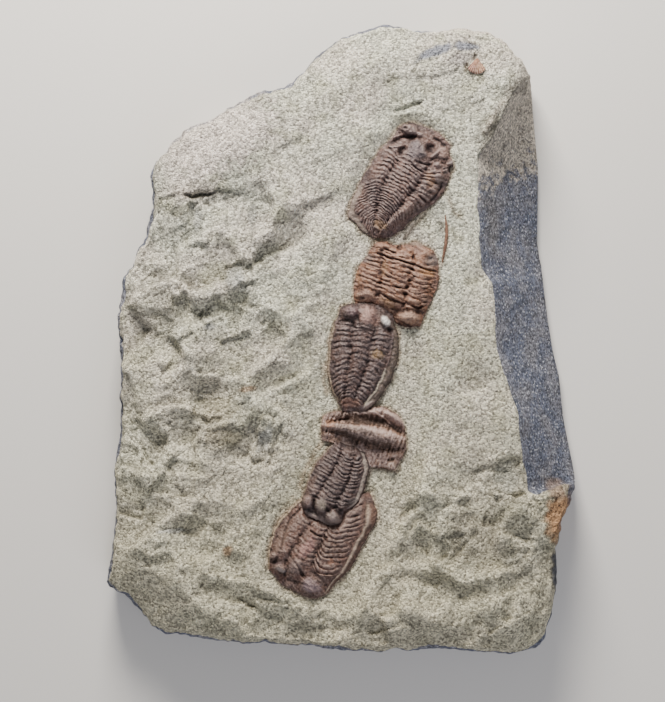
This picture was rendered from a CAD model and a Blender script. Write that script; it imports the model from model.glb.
"""The looks of a slab of siltstone with six fossil trilobites in a row, lying on its back on a pale floor."""
import math

import bpy
import numpy as np
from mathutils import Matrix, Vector, noise


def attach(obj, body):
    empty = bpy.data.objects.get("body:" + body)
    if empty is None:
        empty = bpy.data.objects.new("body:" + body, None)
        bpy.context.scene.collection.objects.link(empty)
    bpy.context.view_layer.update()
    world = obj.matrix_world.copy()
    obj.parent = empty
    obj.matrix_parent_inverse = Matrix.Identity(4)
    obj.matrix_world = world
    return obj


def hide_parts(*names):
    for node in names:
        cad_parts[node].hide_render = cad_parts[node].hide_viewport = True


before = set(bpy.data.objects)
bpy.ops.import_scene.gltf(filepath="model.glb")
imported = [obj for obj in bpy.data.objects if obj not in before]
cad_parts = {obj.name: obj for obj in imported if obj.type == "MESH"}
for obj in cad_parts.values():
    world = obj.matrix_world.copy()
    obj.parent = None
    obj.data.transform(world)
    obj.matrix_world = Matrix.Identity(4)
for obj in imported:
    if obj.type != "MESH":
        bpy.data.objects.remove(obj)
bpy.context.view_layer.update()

# The view. The slab lies on its back, so the camera looks straight down on its face from half a metre. Places on
# the face are in millimetres as they look from there: x to the right, y up the face, and levels over the floor.
MM = 0.001
FACE_LEVEL = 36.0
CHANNEL_LEVEL = 31.0
EYE = (-3.0, -4.4)
EYE_HEIGHT = 518.7
SLAB_CENTRE = (0.6, 0.13)
LENS = 70.0
FILM_WIDTH = 36.0


def true_places(points):
    """Metres in the row frame for points that were judged from EYE as if they lay at FACE_LEVEL."""
    points = np.array(points, dtype=float)
    spread = (EYE_HEIGHT + FACE_LEVEL - points[:, 2]) / EYE_HEIGHT
    points[:, 0] = EYE[0] + (points[:, 0] - EYE[0]) * spread - SLAB_CENTRE[0]
    points[:, 1] = EYE[1] + (points[:, 1] - EYE[1]) * spread - SLAB_CENTRE[1]
    return points * MM


camera_data = bpy.data.cameras.new("camera")
camera_data.lens = LENS
camera_data.sensor_width = FILM_WIDTH
camera_data.clip_start = 0.01
camera = bpy.data.objects.new("camera", camera_data)
bpy.context.scene.collection.objects.link(camera)
camera.location = true_places([(*EYE, 0.0)])[0]
camera.location.z = (EYE_HEIGHT + FACE_LEVEL) * MM
bpy.context.scene.camera = camera

# The top trilobite, head to the upper right. Its shell is calcite stained brown by iron. It was a segmented
# animal in three lobes, an axis between two rows of ribs, and was cleaned out of the rock with an air pen.
# Rows run from the front of its head to its tail: a rib number, with 0 at the back of the head, and five points
# x, y and height over the bed: margin, furrow, middle of the axis, furrow, margin.
TOP_ROWS = (
    (-4, (22.2, 80.8, 0.6), (27.4, 82.3, 0.7), (32.4, 80.4, 1.0), (37.6, 78.4, 0.9), (41.6, 74.0, 0.5)),
    (-2, (20.0, 77.0, 0.8), (26.0, 75.8, 2.4), (31.2, 74.2, 3.8), (36.4, 71.6, 2.6), (41.9, 69.4, 0.6)),
    (0, (17.0, 74.0, 0.8), (23.0, 70.6, 4.2), (28.2, 68.2, 5.4), (32.6, 64.6, 4.2), (43.0, 65.4, 0.8)),
    (3, (13.9, 70.4, 0.8), (20.8, 66.6, 4.8), (25.8, 64.0, 6.4), (30.4, 60.8, 5.0), (40.4, 58.8, 0.6)),
    (6, (11.2, 65.8, 0.8), (18.4, 62.4, 4.8), (23.2, 60.0, 6.5), (27.8, 56.8, 5.2), (37.2, 53.2, 0.6)),
    (9, (8.4, 61.2, 0.8), (16.6, 58.8, 4.7), (21.0, 56.6, 6.4), (25.2, 53.6, 5.2), (32.4, 49.4, 0.6)),
    (12, (6.0, 56.6, 0.8), (15.3, 55.6, 4.5), (19.0, 53.6, 6.1), (22.6, 50.8, 5.0), (27.6, 46.2, 0.6)),
    (15, (3.9, 52.0, 0.8), (14.4, 52.6, 4.2), (17.4, 50.8, 5.7), (20.4, 48.4, 4.6), (24.0, 42.6, 0.6)),
    (18, (2.8, 47.4, 0.7), (13.8, 49.8, 3.8), (16.2, 48.2, 5.1), (18.6, 46.2, 4.2), (20.6, 40.0, 0.6)),
    (21, (5.8, 43.6, 0.7), (13.3, 47.0, 3.2), (15.2, 45.8, 4.3), (17.2, 44.2, 3.4), (17.6, 39.0, 0.6)),
    (24, (9.2, 40.4, 0.6), (12.9, 44.0, 2.4), (14.4, 43.2, 3.0), (15.7, 42.2, 2.5), (15.6, 38.7, 0.6)),
    (26, (11.8, 39.0, 0.5), (12.6, 38.9, 0.7), (13.3, 38.8, 0.8), (14.0, 38.7, 0.7), (14.6, 38.6, 0.5)),
)
# Eyes, cheeks, the middle of the head and hollows: centre x, y, half length, half width, turn, rise
TOP_FORMS = (
    (26.4, 79.8, 3.1, 1.9, -18, 3.4), (24.8, 80.4, 0.8, 0.6, 0, -1.2), (30.3, 78.0, 1.2, 1.0, 0, 1.5),
    (25.8, 77.2, 2.6, 0.9, 5, -1.6),
    (21.2, 75.4, 2.8, 0.8, 25, -1.2), (22.9, 71.7, 2.0, 1.2, 40, -1.2), (29.0, 71.8, 4.0, 3.6, 35, 1.3),
    (34.0, 72.6, 1.8, 1.9, 0, -2.1), (36.3, 70.6, 0.7, 1.8, -40, 1.3), (38.9, 71.0, 2.0, 2.2, 0, 1.5),
    (42.4, 67.2, 1.9, 0.8, 15, 1.3), (41.9, 64.6, 1.0, 1.4, 0, -1.6), (36.5, 66.5, 2.4, 1.0, -15, 0.9),
    (37.5, 61.6, 1.9, 1.6, 60, 0.9), (34.4, 60.2, 1.6, 3.2, 20, -0.5), (35.6, 57.2, 1.4, 1.2, 0, 0.8),
    (24.5, 48.5, 3.4, 1.6, 40, 0.8),
)
# Grooves and ridges: half width, rise, line
TOP_LINES = (
    (0.45, -0.9, ((29.4, 67.9), (31.6, 66.6), (34.4, 66.5), (36.6, 67.9))),
    (0.45, -0.8, ((26.6, 66.8), (29.2, 64.6), (32.0, 63.4))),
    (0.55, -0.9, ((35.0, 76.6), (37.6, 75.2), (40.0, 73.2))),
    (0.4, 0.7, ((19.6, 76.6), (21.6, 77.4), (24.0, 77.9))),
    (0.3, 0.6, ((18.5, 73.2), (21.0, 73.2), (23.8, 73.8))),
    (0.5, -0.7, ((38.6, 60.4), (38.0, 57.2), (35.2, 53.4), (32.8, 51.6))),
    (0.5, -0.8, ((25.6, 58.0), (29.4, 55.0), (33.0, 52.0))),
)
# Stains: centre x, y, half length, half width, turn, colour, strength
TOP_STAINS = (
    (34.4, 60.6, 1.9, 4.2, 12, "B08A70", 0.6), (15.2, 43.4, 3.0, 2.0, -20, "B08F70", 0.6),
    (26.4, 51.2, 5.4, 2.2, 48, "9E7F74", 0.6), (39.0, 71.0, 2.2, 2.3, 0, "B09288", 0.7),
    (28.6, 71.8, 3.8, 4.2, 0, "7D7378", 0.6), (43.0, 67.4, 1.6, 0.8, 15, "9A9090", 0.6),
    (12.0, 58.0, 4.0, 10.0, 32, "514448", 0.45), (25.8, 79.4, 3.0, 1.8, -18, "5A4B4C", 0.6),
)

# How far apart the points of a shell lie, and how far its sides go down into the rock
SHELL_STEP = 0.24
SHELL_COLUMNS = 121
SHELL_FOOT = 3.5
# What stands higher than this level is pressed together into the room over it
HIGH_PART = 37.2
HIGH_ROOM = 1.1
# The five points of a row lie here across a shell, from -1 at the left margin to 1. Half the axis is 0.4 wide.
AXIS_HALF = 0.4
RAIL_PLACES = (-1.0, -AXIS_HALF, 0.0, AXIS_HALF, 1.0)
# The furrows beside the axis, and how much the lobes beside them swell over a straight slope
FURROW_HALF_WIDTH = 0.075
FURROW_DEPTH = 0.85
FULLEST_PLACE = 0.65
SIDE_FULLNESS = 1.2
# How high a rib of height 1 stands, how blunt it is, and the share of it that lies over the shell's level
RIB_SCALE = 1.7
RIB_BLUNTNESS = 0.8
RIB_SHARE_OVER = 0.62
# Uneven parts, as layers of smooth noise: height, size of the lumps, own number. Waver moves points sideways.
WAVER_X = ((0.5, 3.4, 7), (0.3, 1.3, 8))
WAVER_Y = ((0.5, 3.4, 9), (0.3, 1.3, 10))
FURROW_WEAR = ((1.1, 2.0, 12),)
RIB_WAVER = ((0.25, 4.5, 3), (0.12, 1.6, 4))
RIB_WEAR = ((0.7, 4.0, 6), (0.7, 1.5, 11))
SHELL_LUMPS = ((0.3, 2.2, 1), (0.22, 1.0, 2), (0.13, 0.55, 13))
STAIN_EDGE = ((0.35, 3.0, 0), (0.25, 1.2, 0))
CRUMPLED_EDGE = ((0.5, 1.6, 90), (0.25, 0.7, 91))


def ramp(low, high, value):
    """Smooth step from 0 at low to 1 at high."""
    t = np.clip((value - low) / (high - low), 0.0, 1.0)
    return t * t * (3.0 - 2.0 * t)


def smooth_curve(knots, values, samples):
    """Read a cubic curve through the values at the knots, along the first axis."""
    knots, values, samples = (np.array(a, dtype=float) for a in (knots, values, samples))
    slopes = np.gradient(values, knots, axis=0)
    left = np.clip(np.searchsorted(knots, samples, side="right") - 1, 0, len(knots) - 2)
    shape = (-1,) + (1,) * (values.ndim - 1)
    width = (knots[left + 1] - knots[left]).reshape(shape)
    t = (samples - knots[left]).reshape(shape) / width
    start_part = (2 * t ** 3 - 3 * t ** 2 + 1) * values[left] + (t ** 3 - 2 * t ** 2 + t) * width * slopes[left]
    end_part = (3 * t ** 2 - 2 * t ** 3) * values[left + 1] + (t ** 3 - t ** 2) * width * slopes[left + 1]
    return start_part + end_part


def line_distance(x, y, line, closed=False):
    """Distance to a line of points, which side of it a place is on (+1 on the right) and the share along it."""
    points = list(line) + [line[0]] if closed else list(line)
    away, side, share = np.full(x.shape, 1e9), np.ones(x.shape), np.zeros(x.shape)
    for k, ((ax, ay), (bx, by)) in enumerate(zip(points[:-1], points[1:])):
        dx, dy = bx - ax, by - ay
        t = np.clip(((x - ax) * dx + (y - ay) * dy) / (dx * dx + dy * dy), 0.0, 1.0)
        reach = np.hypot(x - ax - t * dx, y - ay - t * dy)
        nearer = reach < away
        away = np.where(nearer, reach, away)
        side = np.where(nearer, np.where(dx * (y - ay) - dy * (x - ax) < 0, 1.0, -1.0), side)
        share = np.where(nearer, (k + t) / (len(points) - 1), share)
    return away, side, share


def inside(x, y, outline):
    """True for places inside a closed outline."""
    odd = np.zeros(x.shape, dtype=bool)
    for (ax, ay), (bx, by) in zip(outline, np.roll(outline, -1, axis=0)):
        if ay != by:
            odd ^= ((ay > y) != (by > y)) & (x < ax + (y - ay) * (bx - ax) / (by - ay))
    return odd


def noise_at(x, y, size, seed):
    """Smooth noise from about -1 to 1 whose lumps are about size across."""
    values = [noise.noise(Vector((px / size, py / size, seed))) for px, py in zip(x.flat, y.flat)]
    return np.array(values).reshape(x.shape)


def layered_noise(x, y, layers, seed=0.0):
    """Layers of smooth noise, added up."""
    return sum(height * noise_at(x, y, size, seed + number) for height, size, number in layers)


def turned(x, y, cx, cy, turn):
    """Places along and across a direction that is turned by so many degrees round a centre."""
    c, s = math.cos(math.radians(turn)), math.sin(math.radians(turn))
    return (x - cx) * c + (y - cy) * s, (y - cy) * c - (x - cx) * s


def oval_distance(x, y, cx, cy, half_length, half_width, turn):
    """Distance from the middle of a turned oval, with 1 on its edge."""
    along, over = turned(x, y, cx, cy, turn)
    return np.hypot(along / half_length, over / half_width)


def faded_line(x, y, line, half_width):
    """1 on a line, falling off on both sides and towards its ends."""
    away, _, share = line_distance(x, y, line)
    return np.exp(-(away / half_width) ** 2) * ramp(-0.02, 0.12, share) * ramp(-0.02, 0.12, 1.0 - share)


def blurred(grid, reach):
    """A grid's values, each averaged with its neighbours up to reach cells away."""
    for axis in (0, 1):
        padded = np.pad(grid, [(reach, reach) if k == axis else (0, 0) for k in (0, 1)], mode="edge")
        sums = np.cumsum(np.insert(padded, 0, 0.0, axis=axis), axis=axis)
        width = 2 * reach + 1
        count = grid.shape[axis]
        high = np.take(sums, range(width, width + count), axis=axis)
        grid = (high - np.take(sums, range(count), axis=axis)) / width
    return grid


def linear(hex_colour):
    """An sRGB hex colour as linear light."""
    channels = [int(hex_colour[i:i + 2], 16) / 255 for i in (0, 2, 4)]
    return [c / 12.92 if c <= 0.04045 else ((c + 0.055) / 1.055) ** 2.4 for c in channels]


def lay_over(stain, share, colour):
    """Lay a hex colour over the stains, with a share for each place."""
    share = share[..., None]
    stain[..., :3] = stain[..., :3] * (1.0 - share) + np.array(linear(colour)) * share
    stain[..., 3:] = np.maximum(stain[..., 3:], share)


def stain_colours(x, y, spots, lines, seed):
    """Colour and strength of the stains at each place, with ragged edges. Later stains lie over earlier ones."""
    stain = np.zeros(x.shape + (4,))
    ragged = layered_noise(x, y, STAIN_EDGE, seed)
    for cx, cy, half_length, half_width, turn, colour, strength in spots:
        away = oval_distance(x, y, cx, cy, half_length, half_width, turn) + ragged
        lay_over(stain, strength * (1.0 - ramp(0.55, 1.35, away)), colour)
    for half_width, colour, strength, line in lines:
        lay_over(stain, strength * faded_line(x, y, line, half_width) * np.clip(1.0 + 2.0 * ragged, 0, 1), colour)
    return stain


def even_rows(knots, rails, step):
    """Rib numbers that space the rows of a shell evenly along its axis."""
    fine = np.linspace(knots[0], knots[-1], 600)
    axis = smooth_curve(knots, rails[:, 2, :2], fine)
    run = np.concatenate(([0.0], np.cumsum(np.hypot(*np.diff(axis, axis=0).T))))
    return np.interp(np.linspace(0.0, run[-1], int(run[-1] / step)), run, fine)


def bow_towards_head(rails, bows, places):
    """How far each point moves so that the ribs bow towards the head between the furrows."""
    headward = -np.gradient(rails[:, 2, :2], axis=0)
    headward /= np.hypot(*headward.T)[:, None]
    on_axis = np.clip(1.0 - (places / AXIS_HALF) ** 2, 0.0, 1.0)
    across = np.clip((np.abs(places) - AXIS_HALF) / (1.0 - AXIS_HALF), 0.0, 1.0)
    amount = bows[1] * on_axis + np.where(places < 0, bows[0], bows[2]) * 4.0 * across * (1.0 - across)
    return headward[:, None, :] * amount[None, :, None]


def shell_grid(rows, bows):
    """Points of a shell with smooth lobes, with the rib number and the place across for each."""
    knots = [row[0] for row in rows]
    rails = np.array([row[1:] for row in rows], dtype=float)
    steps = even_rows(knots, rails, SHELL_STEP)
    places = np.linspace(-1.0, 1.0, SHELL_COLUMNS)
    along = smooth_curve(knots, rails, steps)
    grid = smooth_curve(RAIL_PLACES, along.swapaxes(0, 1), places).swapaxes(0, 1).copy()
    ribs = np.repeat(steps[:, None], SHELL_COLUMNS, axis=1)
    place = np.repeat(places[None, :], len(steps), axis=0)
    on_body = ramp(-1.0, 1.0, ribs) * (1.0 - ramp(knots[-1] - 3.0, knots[-1], ribs))
    grid[:, :, :2] += bow_towards_head(along, bows, places) * on_body[:, :, None]
    return grid, ribs, place


def add_lobes(x, y, z, ribs, place, last, seed):
    """Swell the side lobes and press in the furrows between them and the axis."""
    out = np.abs(place)
    fullness = ramp(AXIS_HALF, FULLEST_PLACE, out) * (1.0 - ramp(FULLEST_PLACE, 1.0, out))
    z += SIDE_FULLNESS * fullness * ramp(-3.0, 1.0, ribs)
    furrow_place = AXIS_HALF + 0.02 * noise_at(x, y, 3.0, seed)
    in_furrow = np.exp(-((out - furrow_place) / FURROW_HALF_WIDTH) ** 2)
    worn = np.clip(0.75 + layered_noise(x, y, FURROW_WEAR, seed), 0.15, 1.5)
    on_body = ramp(-3.0, 0.0, ribs) * (1.0 - ramp(0.72 * last, 0.95 * last, ribs))
    z -= FURROW_DEPTH * worn * in_furrow * on_body


def add_ribs(x, y, z, ribs, place, last, heights, sweeps, reach, seed):
    """Rounded ribs with sharp furrows between them. They sweep back to the margins, more so towards the tail."""
    side = np.clip((np.abs(place) - AXIS_HALF) / (1.0 - AXIS_HALF), 0.0, 1.0)
    sweep = np.where(place < 0, sweeps[0], sweeps[1]) * side ** 1.3 * ramp(0.0, 0.6 * last, ribs)
    wavering = ribs - sweep + layered_noise(x, y, RIB_WAVER, seed)
    crest = np.abs(np.sin(math.pi * wavering)) ** RIB_BLUNTNESS
    left, axis, right = heights
    height = left + (axis - left) * ramp(-AXIS_HALF - 0.05, -AXIS_HALF + 0.05, place)
    height = height + (right - axis) * ramp(AXIS_HALF - 0.05, AXIS_HALF + 0.05, place)
    ends = np.where(place < 0, reach[0], reach[1])
    height = height * (1.0 - ramp(ends - 0.12, ends, np.abs(place)))
    height = height * ramp(-0.6, 0.4, ribs) * (1.0 - ramp(last - 1.6, last - 0.2, ribs))
    worn = np.clip(0.85 + layered_noise(x, y, RIB_WEAR, seed), 0.1, 1.6)
    z += RIB_SCALE * height * worn * (crest - RIB_SHARE_OVER)


def add_forms(x, y, z, ribs, place, forms, lines, rims, seed):
    """Raise the rims, the eyes and cheeks, and the ridges, and press in the hollows and grooves."""
    for side, first, last, rim_place, half_width, rise in rims:
        on_rim = np.exp(-((place - side * rim_place) / half_width) ** 2)
        z += rise * on_rim * ramp(first - 1.0, first + 1.0, ribs) * (1.0 - ramp(last - 1.0, last + 1.0, ribs))
    for cx, cy, half_length, half_width, turn, rise in forms:
        away = oval_distance(x, y, cx, cy, half_length, half_width, turn)
        z += rise * np.exp(-away ** 3.0) * (1.0 + 0.15 * noise_at(x, y, 1.1, seed + 5.0))
    for half_width, rise, line in lines:
        z += rise * faded_line(x, y, line, half_width)


def add_fibres(x, y, z, turn, height, seed):
    """Splintery streaks, five times as long as they are wide."""
    along, over = turned(x, y, 0.0, 0.0, turn)
    z += height * noise_at(along / 5.0, over, 0.75, seed + 14.0)


def pressed_down(level):
    """Levels with the highest parts pressed together, so that they stay in the room over them."""
    over = np.maximum(level - HIGH_PART, 0.0)
    return level - over + HIGH_ROOM * (1.0 - np.exp(-over / HIGH_ROOM))


def edge_numbers(rows, columns):
    """Point numbers round the edge of a grid."""
    ring = [j for j in range(columns - 1)]
    ring += [i * columns + columns - 1 for i in range(rows - 1)]
    ring += [(rows - 1) * columns + j for j in range(columns - 1, 0, -1)]
    ring += [i * columns for i in range(rows - 1, 0, -1)]
    return ring


def turns_left(places):
    """True where a closed outline runs anticlockwise."""
    ahead = np.roll(places, -1, axis=0)
    return float(np.sum(places[:, 0] * ahead[:, 1] - ahead[:, 0] * places[:, 1])) > 0.0


def new_piece(name, points, faces, finish):
    """An object at the origin with its place in its mesh."""
    mesh = bpy.data.meshes.new(name)
    mesh.from_pydata(points.tolist(), [], faces)
    mesh.update()
    mesh.shade_smooth()
    mesh.materials.append(finish)
    piece = bpy.data.objects.new(name, mesh)
    bpy.context.scene.collection.objects.link(piece)
    return piece


def store(piece, name, values, kind="FLOAT"):
    """Keep a value or a colour for each point of a piece, 0 for the points beyond the list."""
    width = 4 if kind == "FLOAT_COLOR" else 1
    full = np.zeros((len(piece.data.vertices), width), dtype=np.float32)
    full[:len(values)] = np.asarray(values).reshape(-1, width)
    field = "color" if width == 4 else "value"
    piece.data.attributes.new(name, kind, "POINT").data.foreach_set(field, full.ravel())


def grid_faces(rows, columns):
    """Quads of a grid of points, row by row."""
    firsts = [first for i in range(rows - 1) for first in range(i * columns, (i + 1) * columns - 1)]
    return [(first, first + 1, first + columns + 1, first + columns) for first in firsts]


def ring_faces(upper, lower):
    """Quads between two rings of point numbers that run anticlockwise, seen from above."""
    count = len(upper)
    return [(upper[k], lower[k], lower[(k + 1) % count], upper[(k + 1) % count]) for k in range(count)]


def closed_shell(name, grid, underside, finish):
    """A shell with its sides let into the rock and a flat underside."""
    rows, columns = grid.shape[:2]
    ring = edge_numbers(rows, columns)
    flat = grid.reshape(-1, 3)
    faces = grid_faces(rows, columns)
    if not turns_left(flat[ring, :2]):
        faces = [face[::-1] for face in faces]
        ring = ring[::-1]
    lower = list(range(len(flat), len(flat) + len(ring)))
    foot = np.column_stack((flat[ring, :2], np.full(len(ring), underside)))
    faces += ring_faces(ring, lower)
    faces.append(tuple(reversed(lower)))
    return new_piece(name, true_places(np.concatenate((flat, foot))), faces, finish)


def add_node(tree, kind, settings=None, links=None):
    """Add a node: its settings, then for each input a value, a hex colour, or the node or output that feeds it."""
    node = tree.nodes.new(kind)
    for name, value in (settings or {}).items():
        setattr(node, name, value)
    for name, source in (links or {}).items():
        if isinstance(source, bpy.types.Node):
            source = next(output for output in source.outputs if output.enabled)
        if isinstance(source, bpy.types.NodeSocket):
            tree.links.new(source, node.inputs[name])
        elif isinstance(source, str) and source.startswith("#"):
            node.inputs[name].default_value = (*linear(source[1:]), 1)
        else:
            node.inputs[name].default_value = source
    return node


MIX_COLOURS = {"data_type": "RGBA"}
# Sizes of the shell's mottling and of its finest grains. Its true grains are too fine to show, so they are drawn
# about ten times as coarse.
MOTTLE_SIZE = 3.2
SHELL_GRAIN_SIZE = 0.9


def shell_finish(name, furrow, body, patch, crest, roughness):
    """Calcite shell stained by iron: dark in its furrows, worn paler on its crests, mottled, with a dull shine."""
    finish = bpy.data.materials.new(name)
    finish.use_nodes = True
    tree = finish.node_tree
    shader = tree.nodes["Principled BSDF"]
    place = add_node(tree, "ShaderNodeTexCoord").outputs["Object"]
    relief = add_node(tree, "ShaderNodeAttribute", {"attribute_name": "relief"}).outputs["Fac"]
    stain = add_node(tree, "ShaderNodeAttribute", {"attribute_name": "stain"}).outputs
    mottle = add_node(tree, "ShaderNodeTexNoise",
                      links={"Vector": place, "Scale": 1000 / MOTTLE_SIZE, "Detail": 3.0})
    share = add_node(tree, "ShaderNodeMapRange", links={"Value": mottle, "From Min": 0.42, "From Max": 0.6})
    colour = add_node(tree, "ShaderNodeMix", MIX_COLOURS, {0: share, 6: body, 7: patch})
    colour = add_node(tree, "ShaderNodeMix", MIX_COLOURS, {0: stain["Alpha"], 6: colour, 7: stain["Color"]})
    grains = add_node(tree, "ShaderNodeTexNoise",
                      links={"Vector": place, "Scale": 1000 / SHELL_GRAIN_SIZE, "Detail": 3.0, "Roughness": 0.65})
    grain = add_node(tree, "ShaderNodeMapRange",
                     links={"Value": grains, "From Min": 0.3, "From Max": 0.7, "To Min": -0.8, "To Max": 0.8})
    height = add_node(tree, "ShaderNodeMath", {"operation": "ADD"}, {0: relief, 1: grain})
    low = add_node(tree, "ShaderNodeMapRange", links={"Value": height, "From Min": 0.0, "From Max": -1.1})
    high = add_node(tree, "ShaderNodeMapRange", links={"Value": height, "From Min": 0.1, "From Max": 1.2})
    colour = add_node(tree, "ShaderNodeMix", MIX_COLOURS, {0: low, 6: colour, 7: furrow})
    colour = add_node(tree, "ShaderNodeMix", MIX_COLOURS, {0: high, 6: colour, 7: crest})
    # A little of each stain also lies over the dark furrows and the worn crests
    through = add_node(tree, "ShaderNodeMath", {"operation": "MULTIPLY"}, {0: stain["Alpha"], 1: 0.55})
    colour = add_node(tree, "ShaderNodeMix", MIX_COLOURS, {0: through, 6: colour, 7: stain["Color"]})
    bump = add_node(tree, "ShaderNodeBump", links={"Strength": 0.9, "Distance": 0.0006, "Height": grains})
    tree.links.new(colour.outputs[2], shader.inputs["Base Color"])
    tree.links.new(bump.outputs[0], shader.inputs["Normal"])
    shader.inputs["Roughness"].default_value = roughness
    shader.inputs["Specular IOR Level"].default_value = 0.35
    return finish


def cut_under(x, y, z, outline, upper_bed):
    """Press a surface down where another fossil lies over it, and lead it down to that fossil's edge."""
    away = line_distance(x, y, outline, closed=True)[0]
    within = np.where(inside(x, y, outline), -away, away)
    crumpled = layered_noise(x, y, CRUMPLED_EDGE)
    z[:] = np.minimum(z, upper_bed + 0.4 + crumpled + 1.3 * np.maximum(within, 0.0))
    z[:] = np.where(within < -0.5, np.minimum(z, upper_bed - 1.0), z)


def granular(ribs, place, node):
    """Where the shell has granules: on the head, and on the lower fossil's broad left edge."""
    head = ramp(0.0, -1.0, ribs) * (1.0 - ramp(0.8, 0.95, np.abs(place)))
    if node == "trilobite_bottom":
        head = np.maximum(head, ramp(-0.78, -0.84, place) * ramp(-0.98, -0.94, place))
    if node == "trilobite_fourth":
        head = np.full(ribs.shape, 0.25)
    return head


def add_trilobite(node, slot, finish, rows, forms, lines, stains, bed, seed, rib_heights, bows, sweeps, rib_reach,
                  fibres, rims=(), rim_stains=()):
    """A whole shell for a CAD node, on its bed.

    The ribs' heights and how far they bow to the head are given for the left side, the axis and the right, and
    their sweep and reach for both sides. Fibres have a turn and a height. A rim has its side (-1 is left), first
    and last rib, place across, half width and rise, and a rim stain its side, ribs, two places, colour, strength.
    """
    grid, ribs, place = shell_grid(rows, bows)
    last = rows[-1][0]
    x, y, z = grid[..., 0], grid[..., 1], grid[..., 2]
    shift_x, shift_y = layered_noise(x, y, WAVER_X, seed), layered_noise(x, y, WAVER_Y, seed)
    x += shift_x
    y += shift_y
    if max(rib_heights) > 0:
        add_lobes(x, y, z, ribs, place, last, seed)
    add_ribs(x, y, z, ribs, place, last, rib_heights, sweeps, rib_reach, seed)
    add_forms(x, y, z, ribs, place, forms, lines, rims, seed)
    add_fibres(x, y, z, *fibres, seed)
    z += layered_noise(x, y, SHELL_LUMPS, seed) + bed
    z[:] = pressed_down(z)
    for upper in OVER.get(node, ()):
        cut_under(x, y, z, edges[upper], beds[upper])
    stain = stain_colours(x, y, stains, (), seed)
    for side, first, final, low, high, colour, strength in rim_stains:
        band = ramp(low - 0.02, low + 0.02, side * place) * (1.0 - ramp(high - 0.02, high + 0.02, side * place))
        on_ribs = ramp(first - 1, first, ribs) * (1.0 - ramp(final, final + 1, ribs))
        lay_over(stain, strength * band * on_ribs, colour)
    relief = np.clip((z - blurred(z, 3)) / 0.5, -1.0, 1.0) + 0.5 * np.clip((z - blurred(z, 9)) / 0.9, -1.0, 1.0)
    piece = closed_shell(node.replace("trilobite", "shell"), grid, bed - SHELL_FOOT, finish)
    store(piece, "relief", relief.ravel())
    store(piece, "stain", stain.reshape(-1, 4), "FLOAT_COLOR")
    store(piece, "rough", granular(ribs, place, node).ravel())
    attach(piece, "root")
    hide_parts(node)
    ring = edge_numbers(*grid.shape[:2])[::4]
    edge = grid.reshape(-1, 3)[ring, :2]
    edges[node] = edge if turns_left(edge) else edge[::-1]
    shells[node], slots[node], beds[node] = piece, slot, bed


# A fossil is let down where these ones lie over it
OVER = {
    "trilobite_second": ("trilobite_third",),
    "trilobite_fourth": ("trilobite_third", "trilobite_fifth"),
    "trilobite_bottom": ("trilobite_fifth",),
}
shells, slots, edges, beds = {}, {}, {}, {}
grey_brown_shell = shell_finish("iron-stained calcite shell, grey brown",
                                "#302424", "#645451", "#6F5750", "#8D7D79",
                                roughness=0.55)
add_trilobite("trilobite_top", "brown_shell", grey_brown_shell, TOP_ROWS, TOP_FORMS, TOP_LINES, TOP_STAINS,
              bed=CHANNEL_LEVEL, seed=11.0, rib_heights=(0.45, 0.5, 0.42), bows=(1.2, 0.5, 0.6), sweeps=(3.6, 2.6),
              rib_reach=(0.92, 0.94), fibres=(-30, 0.2), rims=((-1, 11, 24, 0.95, 0.05, 0.25),),
              rim_stains=((-1, 11, 24, 0.88, 1.0, "A09085", 0.7),))

# The third trilobite, head up, the best of the six: even ribs, domed eyes and a raised rim down its right side.
THIRD_ROWS = (
    (-4, (0.4, 12.4, 0.6), (5.2, 13.8, 0.8), (9.8, 13.8, 1.4), (14.8, 12.8, 1.2), (19.6, 9.4, 0.8)),
    (-2, (-1.0, 8.8, 0.6), (5.2, 9.4, 2.2), (9.6, 9.2, 4.2), (14.0, 8.2, 2.6), (20.9, 5.6, 0.8)),
    (0, (-2.6, 4.8, 0.8), (4.5, 4.4, 4.0), (8.6, 4.0, 5.0), (13.0, 3.2, 4.0), (21.9, 1.4, 0.8)),
    (2.5, (-4.1, 0.2, 0.8), (4.1, -0.2, 4.4), (7.9, -0.6, 5.6), (11.9, -1.4, 4.4), (22.1, -4.2, 0.8)),
    (5, (-4.8, -5.4, 0.8), (3.7, -5.6, 4.5), (7.0, -5.9, 5.7), (10.8, -6.4, 4.5), (21.0, -9.8, 0.8)),
    (7.5, (-5.0, -10.8, 0.8), (3.1, -10.6, 4.4), (6.0, -10.9, 5.6), (9.3, -11.5, 4.4), (19.0, -15.4, 0.8)),
    (10, (-4.4, -15.8, 0.8), (2.3, -15.0, 4.1), (4.9, -15.3, 5.2), (7.6, -16.0, 4.1), (16.3, -20.2, 0.8)),
    (12.5, (-3.1, -19.8, 0.8), (1.9, -18.9, 3.6), (4.1, -19.2, 4.5), (6.2, -20.0, 3.6), (13.6, -24.0, 0.7)),
    (15, (-1.4, -23.2, 0.7), (1.8, -22.4, 2.8), (3.6, -22.7, 3.4), (5.2, -23.2, 2.8), (10.8, -26.2, 0.6)),
    (17.5, (-0.4, -25.6, 0.5), (1.6, -27.0, 0.9), (3.8, -27.5, 1.0), (6.0, -27.4, 0.9), (8.8, -27.2, 0.5)),
)
THIRD_FORMS = (
    (4.0, 10.8, 3.0, 2.4, 15, 4.2), (17.6, 6.6, 1.8, 2.8, 35, 3.2), (9.9, 8.6, 2.9, 4.0, 0, 2.0),
    (1.6, 7.0, 2.4, 0.8, 10, -1.0), (18.4, 4.2, 1.2, 0.8, -30, -1.3), (13.0, 7.0, 0.8, 3.0, 20, -0.8),
    (6.6, 9.4, 0.7, 2.6, 10, -0.7), (10.8, -25.0, 2.6, 1.0, 35, 0.9),
)
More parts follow.
